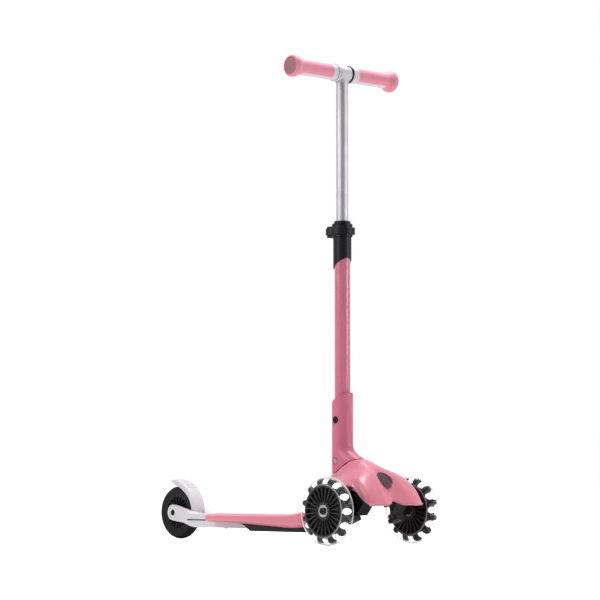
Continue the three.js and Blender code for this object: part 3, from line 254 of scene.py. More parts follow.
@dataclass(frozen=True)
class Finish:
    """What every finish has: a name, a colour and a recipe to mix."""

    name: str
    colour: Triple

    def darker(self, share: float) -> Triple:
        """Return the colour times a share."""
        red, green, blue = (share * part for part in self.colour)
        return red, green, blue

    def mix(self, recipe: Recipe) -> None:
        """Set the nodes of a recipe."""
        raise NotImplementedError

    def make(self) -> Material:
        """Return the material."""
        recipe = Recipe(bpy.data.materials.new(self.name))
        self.mix(recipe)
        return recipe.owner


@dataclass(frozen=True)
class Moulded(Finish):
    """Moulded plastic: faint flow tints, a fine spark eroded grain, small scuffs."""

    tint: Triple
    rough: float
    grain: float = 0.00004
    grain_scale: float = 1800.0
    coat: float = 0.0
    scuff: float = 0.05
    gloss: float = 0.5

    def mix(self, recipe: Recipe) -> None:
        """Set the nodes of a recipe."""
        flow = recipe.noise(9, 2, 0.5)
        fine = recipe.noise(self.grain_scale, 2, 0.6)
        marks = recipe.noise(60, 4, 0.65, (1, 1, 3), 4.0).ramp(0.6, 0.75)
        recipe.set(Base_Color=recipe.blend(flow.ramp(0.3, 0.7), self.colour, self.tint),
                   Roughness=fine * 0.08 + marks * self.scuff + (self.rough - 0.04),
                   Coat_Weight=self.coat, Coat_Roughness=0.18, IOR=1.49, Specular_IOR_Level=self.gloss)
        recipe.bump(fine, self.grain)


@dataclass(frozen=True)
class Painted(Finish):
    """Gloss paint on a tube: orange peel under a clear coat."""

    tint: Triple
    rough: float = 0.32

    def mix(self, recipe: Recipe) -> None:
        """Set the nodes of a recipe."""
        peel = recipe.noise(420, 2, 0.4)
        flow = recipe.noise(14, 2, 0.5, (1, 1, 0.3))
        recipe.set(Base_Color=recipe.blend(flow.ramp(0.35, 0.7), self.colour, self.tint),
                   Roughness=peel * 0.06 + (self.rough - 0.03),
                   Coat_Weight=0.35, Coat_Roughness=0.12)
        recipe.bump(peel, 0.00006)


@dataclass(frozen=True)
class Rubber(Finish):
    """Black rubber: matt, dusty in broad patches, faintly speckled."""

    dust: Triple
    rough: float = 0.72

    def mix(self, recipe: Recipe) -> None:
        """Set the nodes of a recipe."""
        fine = recipe.noise(900, 3, 0.6)
        broad = recipe.noise(22, 3, 0.6, seed=2.0).ramp(0.45, 0.8, 0.0, 0.5)
        recipe.set(Base_Color=recipe.blend(broad, self.colour, self.dust),
                   Roughness=fine * 0.14 + (self.rough - 0.07), Specular_IOR_Level=0.35)
        recipe.bump(fine, 0.00007)


@dataclass(frozen=True)
class Drawn(Finish):
    """Metal drawn or turned, with fine lines along it."""

    rough: float
    lines: Triple = (1, 1, 0.01)

    def mix(self, recipe: Recipe) -> None:
        """Set the nodes of a recipe."""
        dim = self.darker(0.93)
        streaks = recipe.noise(2600, 3, 0.6, self.lines)
        broad = recipe.noise(30, 2, 0.5)
        recipe.set(Base_Color=recipe.blend(broad.ramp(0.3, 0.7), self.colour, dim),
                   Metallic=1.0, Roughness=streaks * 0.14 + broad * 0.06 + (self.rough - 0.1))
        recipe.bump(streaks, 0.000012)


@dataclass(frozen=True)
class Glassy(Finish):
    """Clear cast rubber: a milky veil, thick where the eye grazes it, under a gloss."""

    rough: float = 0.06
    thin: float = 0.02
    thick: float = 0.9

    def mix(self, recipe: Recipe) -> None:
        """Set the nodes of a recipe."""
        dim = self.darker(0.95)
        haze = recipe.noise(40, 3, 0.5)
        grazing = recipe.node("ShaderNodeLayerWeight", None, {"Blend": 0.5}, out="Facing")
        recipe.set(Base_Color=recipe.blend(haze.ramp(0.3, 0.7), self.colour, dim),
                   Roughness=haze * 0.06 + self.rough,
                   Alpha=grazing.ramp(0.25, 0.85, self.thin, self.thick) + haze * 0.02,
                   Coat_Weight=0.5, Coat_Roughness=0.06)


@dataclass(frozen=True)
class HighlightLamp(Finish):
    """The face of a small lamp, glowing white as a painted highlight."""

    highlight_strength: float

    def mix(self, recipe: Recipe) -> None:
        """Set the nodes of a recipe."""
        dim = self.darker(0.8)
        cells = recipe.noise(260, 2, 0.5)
        # The lamp face glows white: a painted highlight.
        recipe.set(Base_Color=self.colour, Roughness=0.25, Emission_Strength=self.highlight_strength,
                   Emission_Color=recipe.blend(cells.ramp(0.3, 0.7), self.colour, dim))


FINISHES: dict[Slot, Finish] = {
    Slot.PINK: Moulded("pink plastic", (0.73, 0.23, 0.305), (0.7, 0.215, 0.29), 0.42, coat=0.2),
    Slot.PAINT: Painted("pink paint", (0.66, 0.185, 0.27), (0.63, 0.17, 0.255)),
    # The neck is the same pink plastic; this darker, less glossy copy of it is painted shade.
    Slot.SHADED_NECK: Moulded("shaded neck pink", (0.66, 0.155, 0.25), (0.63, 0.145, 0.235), 0.44, coat=0.06),
    Slot.SOFT: Moulded("pink soft grip", (0.83, 0.28, 0.37), (0.8, 0.265, 0.35), 0.6, 0.00008, 1100),
    Slot.DEEP: Moulded("deep pink cap", (0.37, 0.155, 0.17), (0.34, 0.14, 0.155), 0.5),
    Slot.WHITE: Moulded("white plastic", (0.67, 0.64, 0.67), (0.64, 0.61, 0.64), 0.42),
    Slot.MAT: Moulded("deck mat", (0.8, 0.72, 0.735), (0.76, 0.68, 0.7), 0.75, 0.0001, 900),
    Slot.BLACK: Moulded("black plastic", (0.007, 0.007, 0.009), (0.01, 0.01, 0.012), 0.45, gloss=0.3),
    Slot.RUBBER: Rubber("tyre rubber", (0.006, 0.006, 0.0065), (0.02, 0.0195, 0.02)),
    Slot.HUB: Moulded("hub grey", (0.03, 0.026, 0.029), (0.024, 0.021, 0.023), 0.42, gloss=0.3),
    Slot.RIM: Moulded("rim grey", (0.12, 0.115, 0.12), (0.105, 0.1, 0.105), 0.35),
    Slot.CLEAR: Glassy("clear tyre", (0.86, 0.87, 0.9)),
    # The lamps' white glow is a painted highlight between the lugs.
    Slot.GLOW: HighlightLamp("lamp", (1.0, 1.0, 1.0), 0.75),
    Slot.LIGHTS: Moulded("light ring", (0.008, 0.007, 0.009), (0.012, 0.011, 0.013), 0.3, gloss=0.3),
    Slot.BADGE: Moulded("badge", (0.105, 0.053, 0.07), (0.09, 0.046, 0.06), 0.35),
    Slot.ALUMINIUM: Drawn("aluminium", (0.66, 0.64, 0.68), 0.56),
    Slot.STEEL: Drawn("steel", (0.62, 0.61, 0.63), 0.3, (1, 1, 1)),
}


class Wardrobe:
    """The finished materials by slot, made when first asked for."""

    def __init__(self) -> None:
        """Start with no materials."""
        self.made: dict[Slot, Material] = {}

    def material(self, slot: Slot) -> Material:
        """Return the slot's material."""
        if slot not in self.made:
            self.made[slot] = FINISHES[slot].make()
        return self.made[slot]

    def dress_frame(self) -> None:
        """Give every CAD node the material of its slot in the record."""
        for part in frame["record"]["subparts"]:
            piece = frame["nodes"][part["node"]]
            piece.data.materials.clear()
            piece.data.materials.append(self.material(Slot(part["material_slot"])))


Outline = Sequence[tuple[float, float]]
Rings = Sequence[Sequence[Vector]]


def through(points: Sequence[Sequence[float]], steps: int) -> list[tuple[float, ...]]:
    """Return a smooth curve through points of any number of coordinates.

    Args:
        points: the places that the curve passes.
        steps: how many equal steps it is cut into.

    Returns:
        One more place than there are steps.
    """
    first = [2 * a - b for a, b in zip(points[0], points[1])]
    last = [2 * a - b for a, b in zip(points[-1], points[-2])]
    padded = [first, *points, last]
    curve = []
    for step in range(steps + 1):
        along = step / steps * (len(points) - 1)
        k = min(int(along), len(points) - 2)
        t = along - k
        before, here, after, beyond = padded[k:k + 4]
        pairs = ((before, here), (here, after), (after, beyond))
        gaps = [max(math.dist(p, q) ** 0.5, SHORTEST) for p, q in pairs]
        place = []
        for a, b, c, d in zip(before, here, after, beyond):
            leave = ((b - a) / gaps[0] - (c - a) / (gaps[0] + gaps[1]) + (c - b) / gaps[1]) * gaps[1]
            reach = ((c - b) / gaps[1] - (d - b) / (gaps[1] + gaps[2]) + (d - c) / gaps[2]) * gaps[1]
            place.append(b + leave * t + (3 * (c - b) - 2 * leave - reach) * t ** 2
                         + (2 * (b - c) + leave + reach) * t ** 3)
        curve.append(tuple(place))
    return curve


def angles(count: int, shift: float = 0.0) -> list[float]:
    """Return equally spaced angles round a circle, shifted by a share of one step."""
    return [2 * math.pi * (k + shift) / count for k in range(count)]


def squared(wave: float, power: float) -> float:
    """Return a sine or cosine pushed outward, which makes a circle squarer."""
    return math.copysign(abs(wave) ** power, wave)


def arc(centre: tuple[float, float], radius: float, start: float, end: float, steps: int) -> Outline:
    """Return points on an arc, its angles in degrees."""
    turns = [math.radians(start + (end - start) * i / steps) for i in range(steps + 1)]
    return [(centre[0] + radius * math.cos(t), centre[1] + radius * math.sin(t)) for t in turns]


def rounded(corners: Outline, radius: float, steps: int = 5) -> Outline:
    """Return an outline with each corner bent over this length of its sides."""
    out = []
    for i, (x, y) in enumerate(corners):
        here = Vector((x, y))
        back = Vector(corners[i - 1]) - here
        ahead = Vector(corners[(i + 1) % len(corners)]) - here
        reach = min(radius, 0.49 * back.length, 0.49 * ahead.length)
        start, end = here + back.normalized() * reach, here + ahead.normalized() * reach
        for k in range(steps + 1):
            t = k / steps
            out.append(tuple(start * (1 - t) ** 2 + here * 2 * t * (1 - t) + end * t ** 2))
    return out


def rectangle(rear: float, front: float, half: float, grow: float = 0.0) -> Outline:
    """Return a rectangle centred on the x axis, grown on every side."""
    rear, front, half = rear - grow, front + grow, half + grow
    return [(rear, -half), (front, -half), (front, half), (rear, half)]


def mirrored(half: Outline) -> Outline:
    """Return a turned profile of (radius, place along the axis) with its other half."""
    return [*half, *[(radius, -along) for radius, along in reversed(half) if abs(along) > SHORTEST]]


def placed(name: str, data: bpy.types.ID | None) -> Object:
    """Return a new object in the scene."""
    item = bpy.data.objects.new(name, data)
    bpy.context.scene.collection.objects.link(item)
    return item


def bevelled(item: Object, width: float, steps: int, angle: float) -> bpy.types.Modifier:
    """Round an object's edges over an angle in degrees, by a width in millimetres."""
    bevel = item.modifiers.new("rounding", "BEVEL")
    bevel.width = width * MM
    bevel.segments = steps
    bevel.limit_method = "ANGLE"
    bevel.angle_limit = math.radians(angle)
    return bevel


@contextmanager
def worked(mesh: Mesh) -> Iterator[bmesh.types.BMesh]:
    """Lend a mesh's faces for work, then write them back."""
    work = bmesh.new()
    work.from_mesh(mesh)
    yield work
    work.to_mesh(mesh)
    work.free()


def gathered(name: str, parts: Iterable[Mesh]) -> Mesh:
    """Return one mesh that holds several."""
    mesh = bpy.data.meshes.new(name)
    with worked(mesh) as work:
        for part in parts:
            work.from_mesh(part)
    return mesh


def settled(item: Object, *helpers: Object) -> Mesh:
    """Return an object's mesh after its modifiers, and remove it and its helpers."""
    bpy.context.view_layer.update()
    made = bpy.data.meshes.new_from_object(item.evaluated_get(bpy.context.evaluated_depsgraph_get()))
    for spent in (item, *helpers):
        bpy.data.objects.remove(spent)
    return made


def mesh_of(name: str, places: Sequence[Vector], faces: Sequence[Sequence[int]]) -> Mesh:
    """Return a mesh with its faces turned outward."""
    mesh = bpy.data.meshes.new(name)
    mesh.from_pydata([tuple(p) for p in places], [], [list(f) for f in faces])
    with worked(mesh) as work:
        bmesh.ops.remove_doubles(work, verts=work.verts, dist=1e-7)
        bmesh.ops.recalc_face_normals(work, faces=work.faces)
    return mesh


def skin(name: str, rings: Rings, closed: bool = False) -> Mesh:
    """Return a skin over rings of equally many points.

    Args:
        name: the mesh's name.
        rings: the rings, in order.
        closed: whether the last ring meets the first; otherwise both ends get a cap.

    Returns:
        The closed mesh.
    """
    count = len(rings[0])
    places = [p for ring in rings for p in ring]
    faces = []
    for r in range(len(rings) if closed else len(rings) - 1):
        low, high = r * count, (r + 1) % len(rings) * count
        faces += [(low + i, low + (i + 1) % count, high + (i + 1) % count, high + i) for i in range(count)]
    if not closed:
        faces += [tuple(range(count)), tuple(range(len(places) - count, len(places)))]
    return mesh_of(name, places, faces)


def turned(name: str, profile: Outline, axis: str, centre: Triple, sides: int = 96) -> Mesh:
    """Return a ring turned round an axis.

    Args:
        name: the mesh's name.
        profile: a closed outline of (radius, place along the axis).
        axis: x, y or z.
        centre: a place on the axis.
        sides: how many steps make the circle.

    Returns:
        The mesh.
    """
    rings = []
    for turn in angles(sides):
        ring = []
        for radius, along in profile:
            u, v = max(radius, 0) * math.cos(turn), max(radius, 0) * math.sin(turn)
            shift = {"x": (along, u, v), "y": (u, along, v), "z": (u, v, along)}[axis]
            ring.append(at(*(c + s for c, s in zip(centre, shift))))
        rings.append(ring)
    return skin(name, rings, closed=True)


def prism(name: str, outline: Outline, axis: str, low: float, high: float) -> Mesh:
    """Return a prism: along y its outline is (x, z), along z (x, y), along x (y, z)."""
    def spot(u: float, v: float, w: float) -> Vector:
        """Return one corner."""
        return at(*{"x": (w, u, v), "y": (u, w, v), "z": (u, v, w)}[axis])
    return skin(name, [[spot(u, v, w) for u, v in outline] for w in (low, high)])


def bar(name: str, radius: float, axis: str, centre: Triple, low: float, high: float,
        sides: int = 64) -> Mesh:
    """Return a round bar along an axis."""
    x, y, z = centre
    middle = {"x": (y, z), "y": (x, z), "z": (x, y)}[axis]
    return prism(name, arc(middle, radius, 0, 360 - 360 / sides, sides - 1), axis, low, high)


@dataclass(frozen=True)
class Core:
    """A wheel core: a thin web, a rim and a hub ring, and radial ribs on both faces."""

    hub: Triple
    radius: float
    ribs: int
    inner: float
    outer: float
    half: float = 10.0
    web: float = 2.0
    lip: float = 1.1
    sunk: float = 0.9
    round: float = 0.5
    bearing: float = 11.3
    shaft: float = 5.0
    seat: float = 3.0
    rib_foot: float = 1.5
    rib_overlap: float = 0.8
    rib_halves: Triple = (0.75, 1.35, 1.9)
    sides: int = 120

    def mesh(self) -> Mesh:
        """Return the whole core."""
        inner, outer, half, web = self.inner, self.outer, self.half, self.web
        rim = mirrored([
            (outer, -web), (outer, -half + self.lip), (outer + 0.6, -half + 0.3), (outer + 1.4, -half),
            (self.radius - self.round, -half), (self.radius, -half + self.round)])
        wide, seat = self.bearing + self.round, self.seat
        boss = [(self.bearing, -half + 0.4),
                *mirrored([(wide, -half), (inner - 0.9, -half), (inner, -half + 1)]),
                (self.bearing, half - 0.4), (self.bearing, seat), (self.shaft, seat),
                (self.shaft, -seat), (self.bearing, -seat)]
        plate = [(inner - 1, -web), (outer + 1, -web), (outer + 1, web), (inner - 1, web)]
        rings = [turned("ring", profile, "y", self.hub, self.sides) for profile in (rim, boss, plate)]
        return gathered("core", [*rings, *(self._rib(turn) for turn in angles(self.ribs, 0.5))])

    def _rib(self, turn: float) -> Mesh:
        """Return one rib of both faces, wider outward."""
        top = self.half - self.sunk
        ux, uz = math.cos(turn), math.sin(turn)
        rings = []
        inner, outer = self.inner, self.outer
        stops = (inner - self.rib_overlap, (inner + outer) / 2, outer + self.rib_overlap)
        for out, wide in zip(stops, self.rib_halves):
            section = [(-wide, self.rib_foot), (-wide, top - 0.7), (-wide + self.round, top),
                       (wide - self.round, top), (wide, top - 0.7), (wide, self.rib_foot)]
            section += [(a, -b) for a, b in reversed(section)]
            x, y, z = self.hub
            rings.append([at(x + ux * out - uz * a, y + b, z + uz * out + ux * a) for a, b in section])
        return skin("rib", rings)


class Join(Enum):
    """How a mesh meets others."""

    CUT = "DIFFERENCE"
    ADD = "UNION"
    SHARE = "INTERSECT"


class Bench:
    """Where pieces are finished: edges, finish, body and the CAD nodes they stand for."""

    def __init__(self, wardrobe: Wardrobe) -> None:
        """Read each node's body and slot from the record."""
        self.wardrobe = wardrobe
        record = frame["record"]
        self.slots = {part["node"]: Slot(part["material_slot"]) for part in record["subparts"]}
        bodies = record["behaviour"]["bodies"].items()
        self.bodies = {node: body for body, nodes in bodies for node in nodes}
        self.stood_for: set[str] = set()

    def put(self, name: str, mesh: Mesh, node: str, edge: float = 0.0,
            crease: float = CREASE, finish: Slot | None = None, extra: bool = False) -> None:
        """Place a finished piece.

        Args:
            name: the piece's name.
            mesh: its mesh.
            node: the CAD node that it stands for.
            edge: how far its sharp edges are rounded, in millimetres.
            crease: the angle over which an edge counts as sharp.
            finish: its finish, where the node has another.
            extra: whether it only adds to the node, which stays.
        """
        piece = placed(name, mesh)
        self.shade(mesh, crease)
        if edge:
            bevel = bevelled(piece, edge, ROUNDING_STEPS, crease)
            bevel.harden_normals = True
            bevel.miter_outer = "MITER_ARC"
        slot = self.slots[node]
        mesh.materials.clear()
        mesh.materials.append(self.wardrobe.material(finish or slot))
        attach(piece, self.bodies[node])
        if not extra:
            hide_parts(node)
            self.stood_for.add(node)
        LOG.info("%s: %d faces", name, len(mesh.polygons))

    @staticmethod
    def shade(mesh: Mesh, crease: float) -> None:
        """Shade a mesh smoothly but for edges over an angle."""
        with worked(mesh) as work:
            for face in work.faces:
                face.smooth = True
            for line in work.edges:
                soft = line.calc_face_angle(0) < math.radians(crease)
                line.smooth = len(line.link_faces) == 2 and soft

    @staticmethod
    def copied(node: str) -> Mesh:
        """Return a copy of a CAD node's mesh, without the lines across its flat faces."""
        mesh = frame["nodes"][node].data.copy()
        with worked(mesh) as work:
            bmesh.ops.remove_doubles(work, verts=work.verts, dist=1e-6)
            bmesh.ops.dissolve_limit(work, angle_limit=math.radians(FLAT),
                                     verts=work.verts, edges=work.edges)
        return mesh

    def refine(self, node: str, edge: float) -> None:
        """Stand a round edged copy in for a CAD node."""
        self.put(f"{node}.fine", self.copied(node), node, edge)

    @staticmethod
    def joined(mesh: Mesh, others: Sequence[Mesh], how: Join = Join.CUT) -> Mesh:
        """Return a mesh cut by others, or joined with them.

        Args:
            mesh: the mesh to change.
            others: the cutting or joining meshes.
            how: how they meet.

        Returns:
            The new mesh.
        """
        main = placed("work", mesh)
        helpers = [placed(f"work_{k}", other) for k, other in enumerate(others)]
        for k, helper in enumerate(helpers):
            step = main.modifiers.new(f"step_{k}", "BOOLEAN")
            step.operation = how.value
            step.solver = "EXACT"
            step.object = helper
        return settled(main, *helpers)


@dataclass
class Nose:
    """The hood over the front wheels, and the pedestal that carries it on the deck.

    Its lanes are half the hood's ridges, from the middle outward; a station is a place along
    the pedestal, half its width there, and its foot's and its top's height.
    """

    wall: float = 4.0
    rows: int = 60
    columns: int = 88
    lip: float = 1.3
    lip_steps: int = 4
    lip_angle: float = 55.0
    lanes: Sequence[Sequence[Triple]] = (
        [(-62, 0, 130), (-45, 0, 143), (-30, 0, 149), (-14, 0, 149.4), (4, 0, 141), (19.5, 0, 131),
         (37, 0, 105.5), (56, 0, 78.5)],
        [(-62, 20, 128), (-47, 19, 139.5), (-33, 15.5, 146.5), (-17, 11, 148), (3, 11, 141), (20, 11, 131),
         (42, 13, 104.5), (66.5, 15, 72)],
        [(-62, 24, 121), (-42, 31, 121), (-27, 31, 128), (-12, 29, 133), (5, 24, 133.5), (23, 21, 130),
         (51, 27, 104), (75.3, 34, 71.5)],
        [(-62, 26, 119), (-38, 38, 118.5), (-20, 44, 121.5), (-2, 50, 121), (14, 56, 118), (34, 61, 111),
         (54, 62, 93), (70, 58, 71)],
        [(-62, 28, 117), (-35, 45, 114.5), (-12, 60, 107.5), (12, 68, 104.1), (24.5, 68.5, 102.5),
         (32, 68.5, 94.6), (41.7, 68.5, 84.4), (53.8, 68.5, 76), (65, 66.5, 71.5)],
    )
    stations: Sequence[tuple[float, float, float, float]] = (
        (-104.7, 54, 35.5, 60), (-100, 52, 41, 72), (-96, 49, 47, 87), (-92, 44.5, 51, 101.5),
        (-87, 39, 54, 113.5), (-81, 34.5, 57, 120.5), (-72, 31, 59, 126), (-60, 30.5, 60, 130.5),
        (-50, 30, 62, 130.5), (-43, 27, 67, 126), (-38, 20, 76, 116))
    badge_place: Triple = (31.8, 0, 112)
    badge_lean: float = 36.0
    badge_radius: float = 16.5
    badge_gap: float = 0.4
    badge_seat: float = 1.2
    station_steps: int = 40
    arch_steps: int = 48
    arch_across: float = 0.42
    arch_up: float = 0.5

    def build(self, bench: Bench, neck: "Neck") -> None:
        """Make the hood and the pedestal.

        Args:
            bench: where pieces are finished.
            neck: the neck whose foot the hood makes room for.
        """
        rooms = [neck.room(), neck.socket()]
        wide = self.badge_radius + self.badge_gap
        seat = bar("badge seat", wide, "x", (0, 0, 0), self.badge_seat, 20, 72)
        hood = bench.joined(self._hood(), [*rooms, self._lean(seat)])
        bench.put("hood", hood, "nose_shell", crease=38)
        bench.put("pedestal", bench.joined(self._pedestal(), rooms), "nose_shell", crease=55)
        bench.put("badge", self._badge(), "badge_disc", crease=40)

    def _hood(self) -> Mesh:
        """Return the hood: its upper skin, a rolled lip and the skin below."""
        half = [through(lane, self.rows) for lane in self.lanes]
        far = [[(x, -y, z) for x, y, z in lane] for lane in half[1:]]
        lanes = [*reversed(half), *far]
        top = [[at(*p) for p in through([lane[r] for lane in lanes], self.columns)]
               for r in range(self.rows + 1)]
        wide = self.columns + 1
        faces = [(r * wide + c, r * wide + c + 1, (r + 1) * wide + c + 1, (r + 1) * wide + c)
                 for r in range(self.rows) for c in range(self.columns)]
        mesh = mesh_of("hood skin", [p for row in top for p in row], faces)
        shell = placed("work", mesh)
        up = sum((f.normal.z for f in mesh.polygons), 0.0)
        wall = shell.modifiers.new("wall", "SOLIDIFY")
        wall.thickness = self.wall * MM * (1 if up > 0 else -1)
        wall.offset = -1
        bevelled(shell, self.lip, self.lip_steps, self.lip_angle)
        return settled(shell)

    def _pedestal(self) -> Mesh:
        """Return the pedestal, arched in section."""
        rings = []
        for x, half, low, high in through(self.stations, self.station_steps):
            ring = []
            for i in range(self.arch_steps + 1):
                turn = math.pi * i / self.arch_steps
                across = squared(math.cos(turn), self.arch_across)
                up = 0 if i in (0, self.arch_steps) else math.sin(turn) ** self.arch_up
                ring.append(at(x, half * across, low + (high - low) * up))
            rings.append(ring)
        return skin("pedestal", rings)

    def _lean(self, mesh: Mesh) -> Mesh:
        """Return a mesh made round the x axis, moved to the badge's place on the hood's front."""
        tilt = Matrix.Rotation(math.radians(-self.badge_lean), 4, "Y")
        there, home = Matrix.Translation(at(*self.badge_place)), Matrix.Translation(-at(0, 0, 0))
        mesh.transform(there @ tilt @ home)
        return mesh

    def _badge(self) -> Mesh:
        """Return the plain badge: a raised rim round a shallow dish."""
        r = self.badge_radius
        profile = [(0, -0.4), (r, -0.4), (r, 2.8), (r - 0.4, 3.4), (r - 1.6, 3.4), (r - 2.3, 2.5),
                   (r - 8, 2.9), (0, 3.1)]
        return self._lean(turned("badge", profile, "x", (0, 0, 0), 80))


@dataclass(frozen=True)
class Bore:
    """A hole across the neck, wider at both ends for a head or a nut."""

    name: str
    height: float
    radius: float
    head: float
    depth: float


@dataclass
class Neck:
    """The folding neck: a round sleeve that flares forward onto the hood.

    A section is its height, its reach forward of the tube's axis and half its width.
    """

    setback: float = 69.0
    radius: float = 19.0
    bolt: Bore = Bore("bolt", 220.0, 3.0, 6.8, 15.8)
    pin: Bore = Bore("pin", 147.0, 4.3, 6.5, 17.8)
    tube_radius: float = 14.5
    tube_foot: float = 182.0
    button_radius: float = 5.8
    button_height: float = 172.0
    far: float = 40.0
    top: float = 330.0
    aside: float = 60.0
    behind: float = -130.0
    hook_foot: float = 80.0
    line_gap: float = 0.35
    foot_gap: float = 0.45
    eye: float = 12.6
    eye_half: float = 12.7
    socket_radius: float = 30.6
    socket_half: float = 20.4
    mouth: Outline = ((-40, 231.8), (-19, 247), (19, 269), (40, 281.2))
    sections: Sequence[Triple] = (
        (275, 19, 19), (178, 19, 19), (172, 20, 19), (168, 22, 19), (164.5, 25.5, 19), (160, 32, 19.1),
        (156, 39.5, 19.2), (152.5, 46.5, 19.4), (149.5, 53, 19.5), (145, 60, 19.5), (136, 68, 19.5),
        (118, 76, 19.5))
    parting: Outline = (
        (-90, 124), (-74, 125), (-66, 128), (-58.6, 132.8), (-47, 141.3), (-40, 145.3), (-33.6, 148.2),
        (-26, 150.2), (-18, 151))

    def form(self, grow: float) -> Mesh:
        """Return the neck's whole outer form, thickened."""
        rings = []
        for z, reach, half in through(self.sections, 72):
            ring = []
            for turn in angles(96):
                ahead = reach if math.cos(turn) > 0 else self.radius
                x = -self.setback + (ahead + grow) * math.cos(turn)
                ring.append(at(x, (half + grow) * math.sin(turn), z))
            rings.append(ring)
        return skin("neck form", rings)

    def side_of_line(self, name: str, drop: float, front: float, end: float) -> Mesh:
        """Return all that lies over or under the parting line.

        Args:
            name: the mesh's name.
            drop: how far the line is lowered.
            front: how far forward it goes.
            end: the height to which it goes.

        Returns:
            The mesh.
        """
        line = [(x, z - drop) for x, z in through(self.parting, 40)]
        rear = self.behind
        outline = [*line, (front, line[-1][1]), (front, end), (rear, end), (rear, line[0][1])]
        return prism(name, outline, "y", -self.aside, self.aside)

    def room(self) -> Mesh:
        """Return the room that the hood leaves for the neck's foot."""
        over = self.side_of_line("over", self.line_gap, 40, 200)
        return Bench.joined(over, [self.form(self.foot_gap)], Join.SHARE)

    def socket(self) -> Mesh:
        """Return the round room in which the neck's foot turns."""
        centre = (-self.setback, 0, self.pin.height)
        return bar("socket", self.socket_radius, "y", centre, -self.socket_half, self.socket_half)

    def build(self, bench: Bench) -> None:
        """Make the neck: its form, less what lies under the line, the bores and the tube's way."""
        back, far, aside, eye, pivot = -self.setback, self.far, self.aside, self.eye, self.pin.height
        mouth = [*((back + x, z) for x, z in self.mouth), (back + far, self.top), (back - far, self.top)]
        hook = [*arc((back, pivot), eye, 0, 90, 10), (back - far, pivot + eye),
                (back - far, self.hook_foot), (back + eye, self.hook_foot)]
        cuts = [self.side_of_line("under", 0, 60, 60), prism("top", mouth, "y", -aside, aside),
                prism("eye", hook, "y", -self.eye_half, self.eye_half),
                bar("tube way", self.tube_radius, "z", (back, 0, 0), self.tube_foot, self.top, 72)]
        bores = (self.bolt, self.pin)
        cuts += [bar(f"{b.name} way", b.radius, "y", (back, 0, b.height), -far, far, 32) for b in bores]
        button = (0, 0, self.button_height)
        cuts.append(bar("button way", self.button_radius, "x", button, back - far, back - 3, 40))
        for side in (-1, 1):
            for b in bores:
                low, high = sorted((side * b.depth, side * far))
                cuts.append(bar(f"{b.name} recess", b.head, "y", (back, 0, b.height), low, high, 48))
        # The neck takes the darker copy of the pink plastic: painted shade.
        bench.put("neck", bench.joined(self.form(0), cuts), "neck_sleeve", crease=36, finish=Slot.SHADED_NECK)


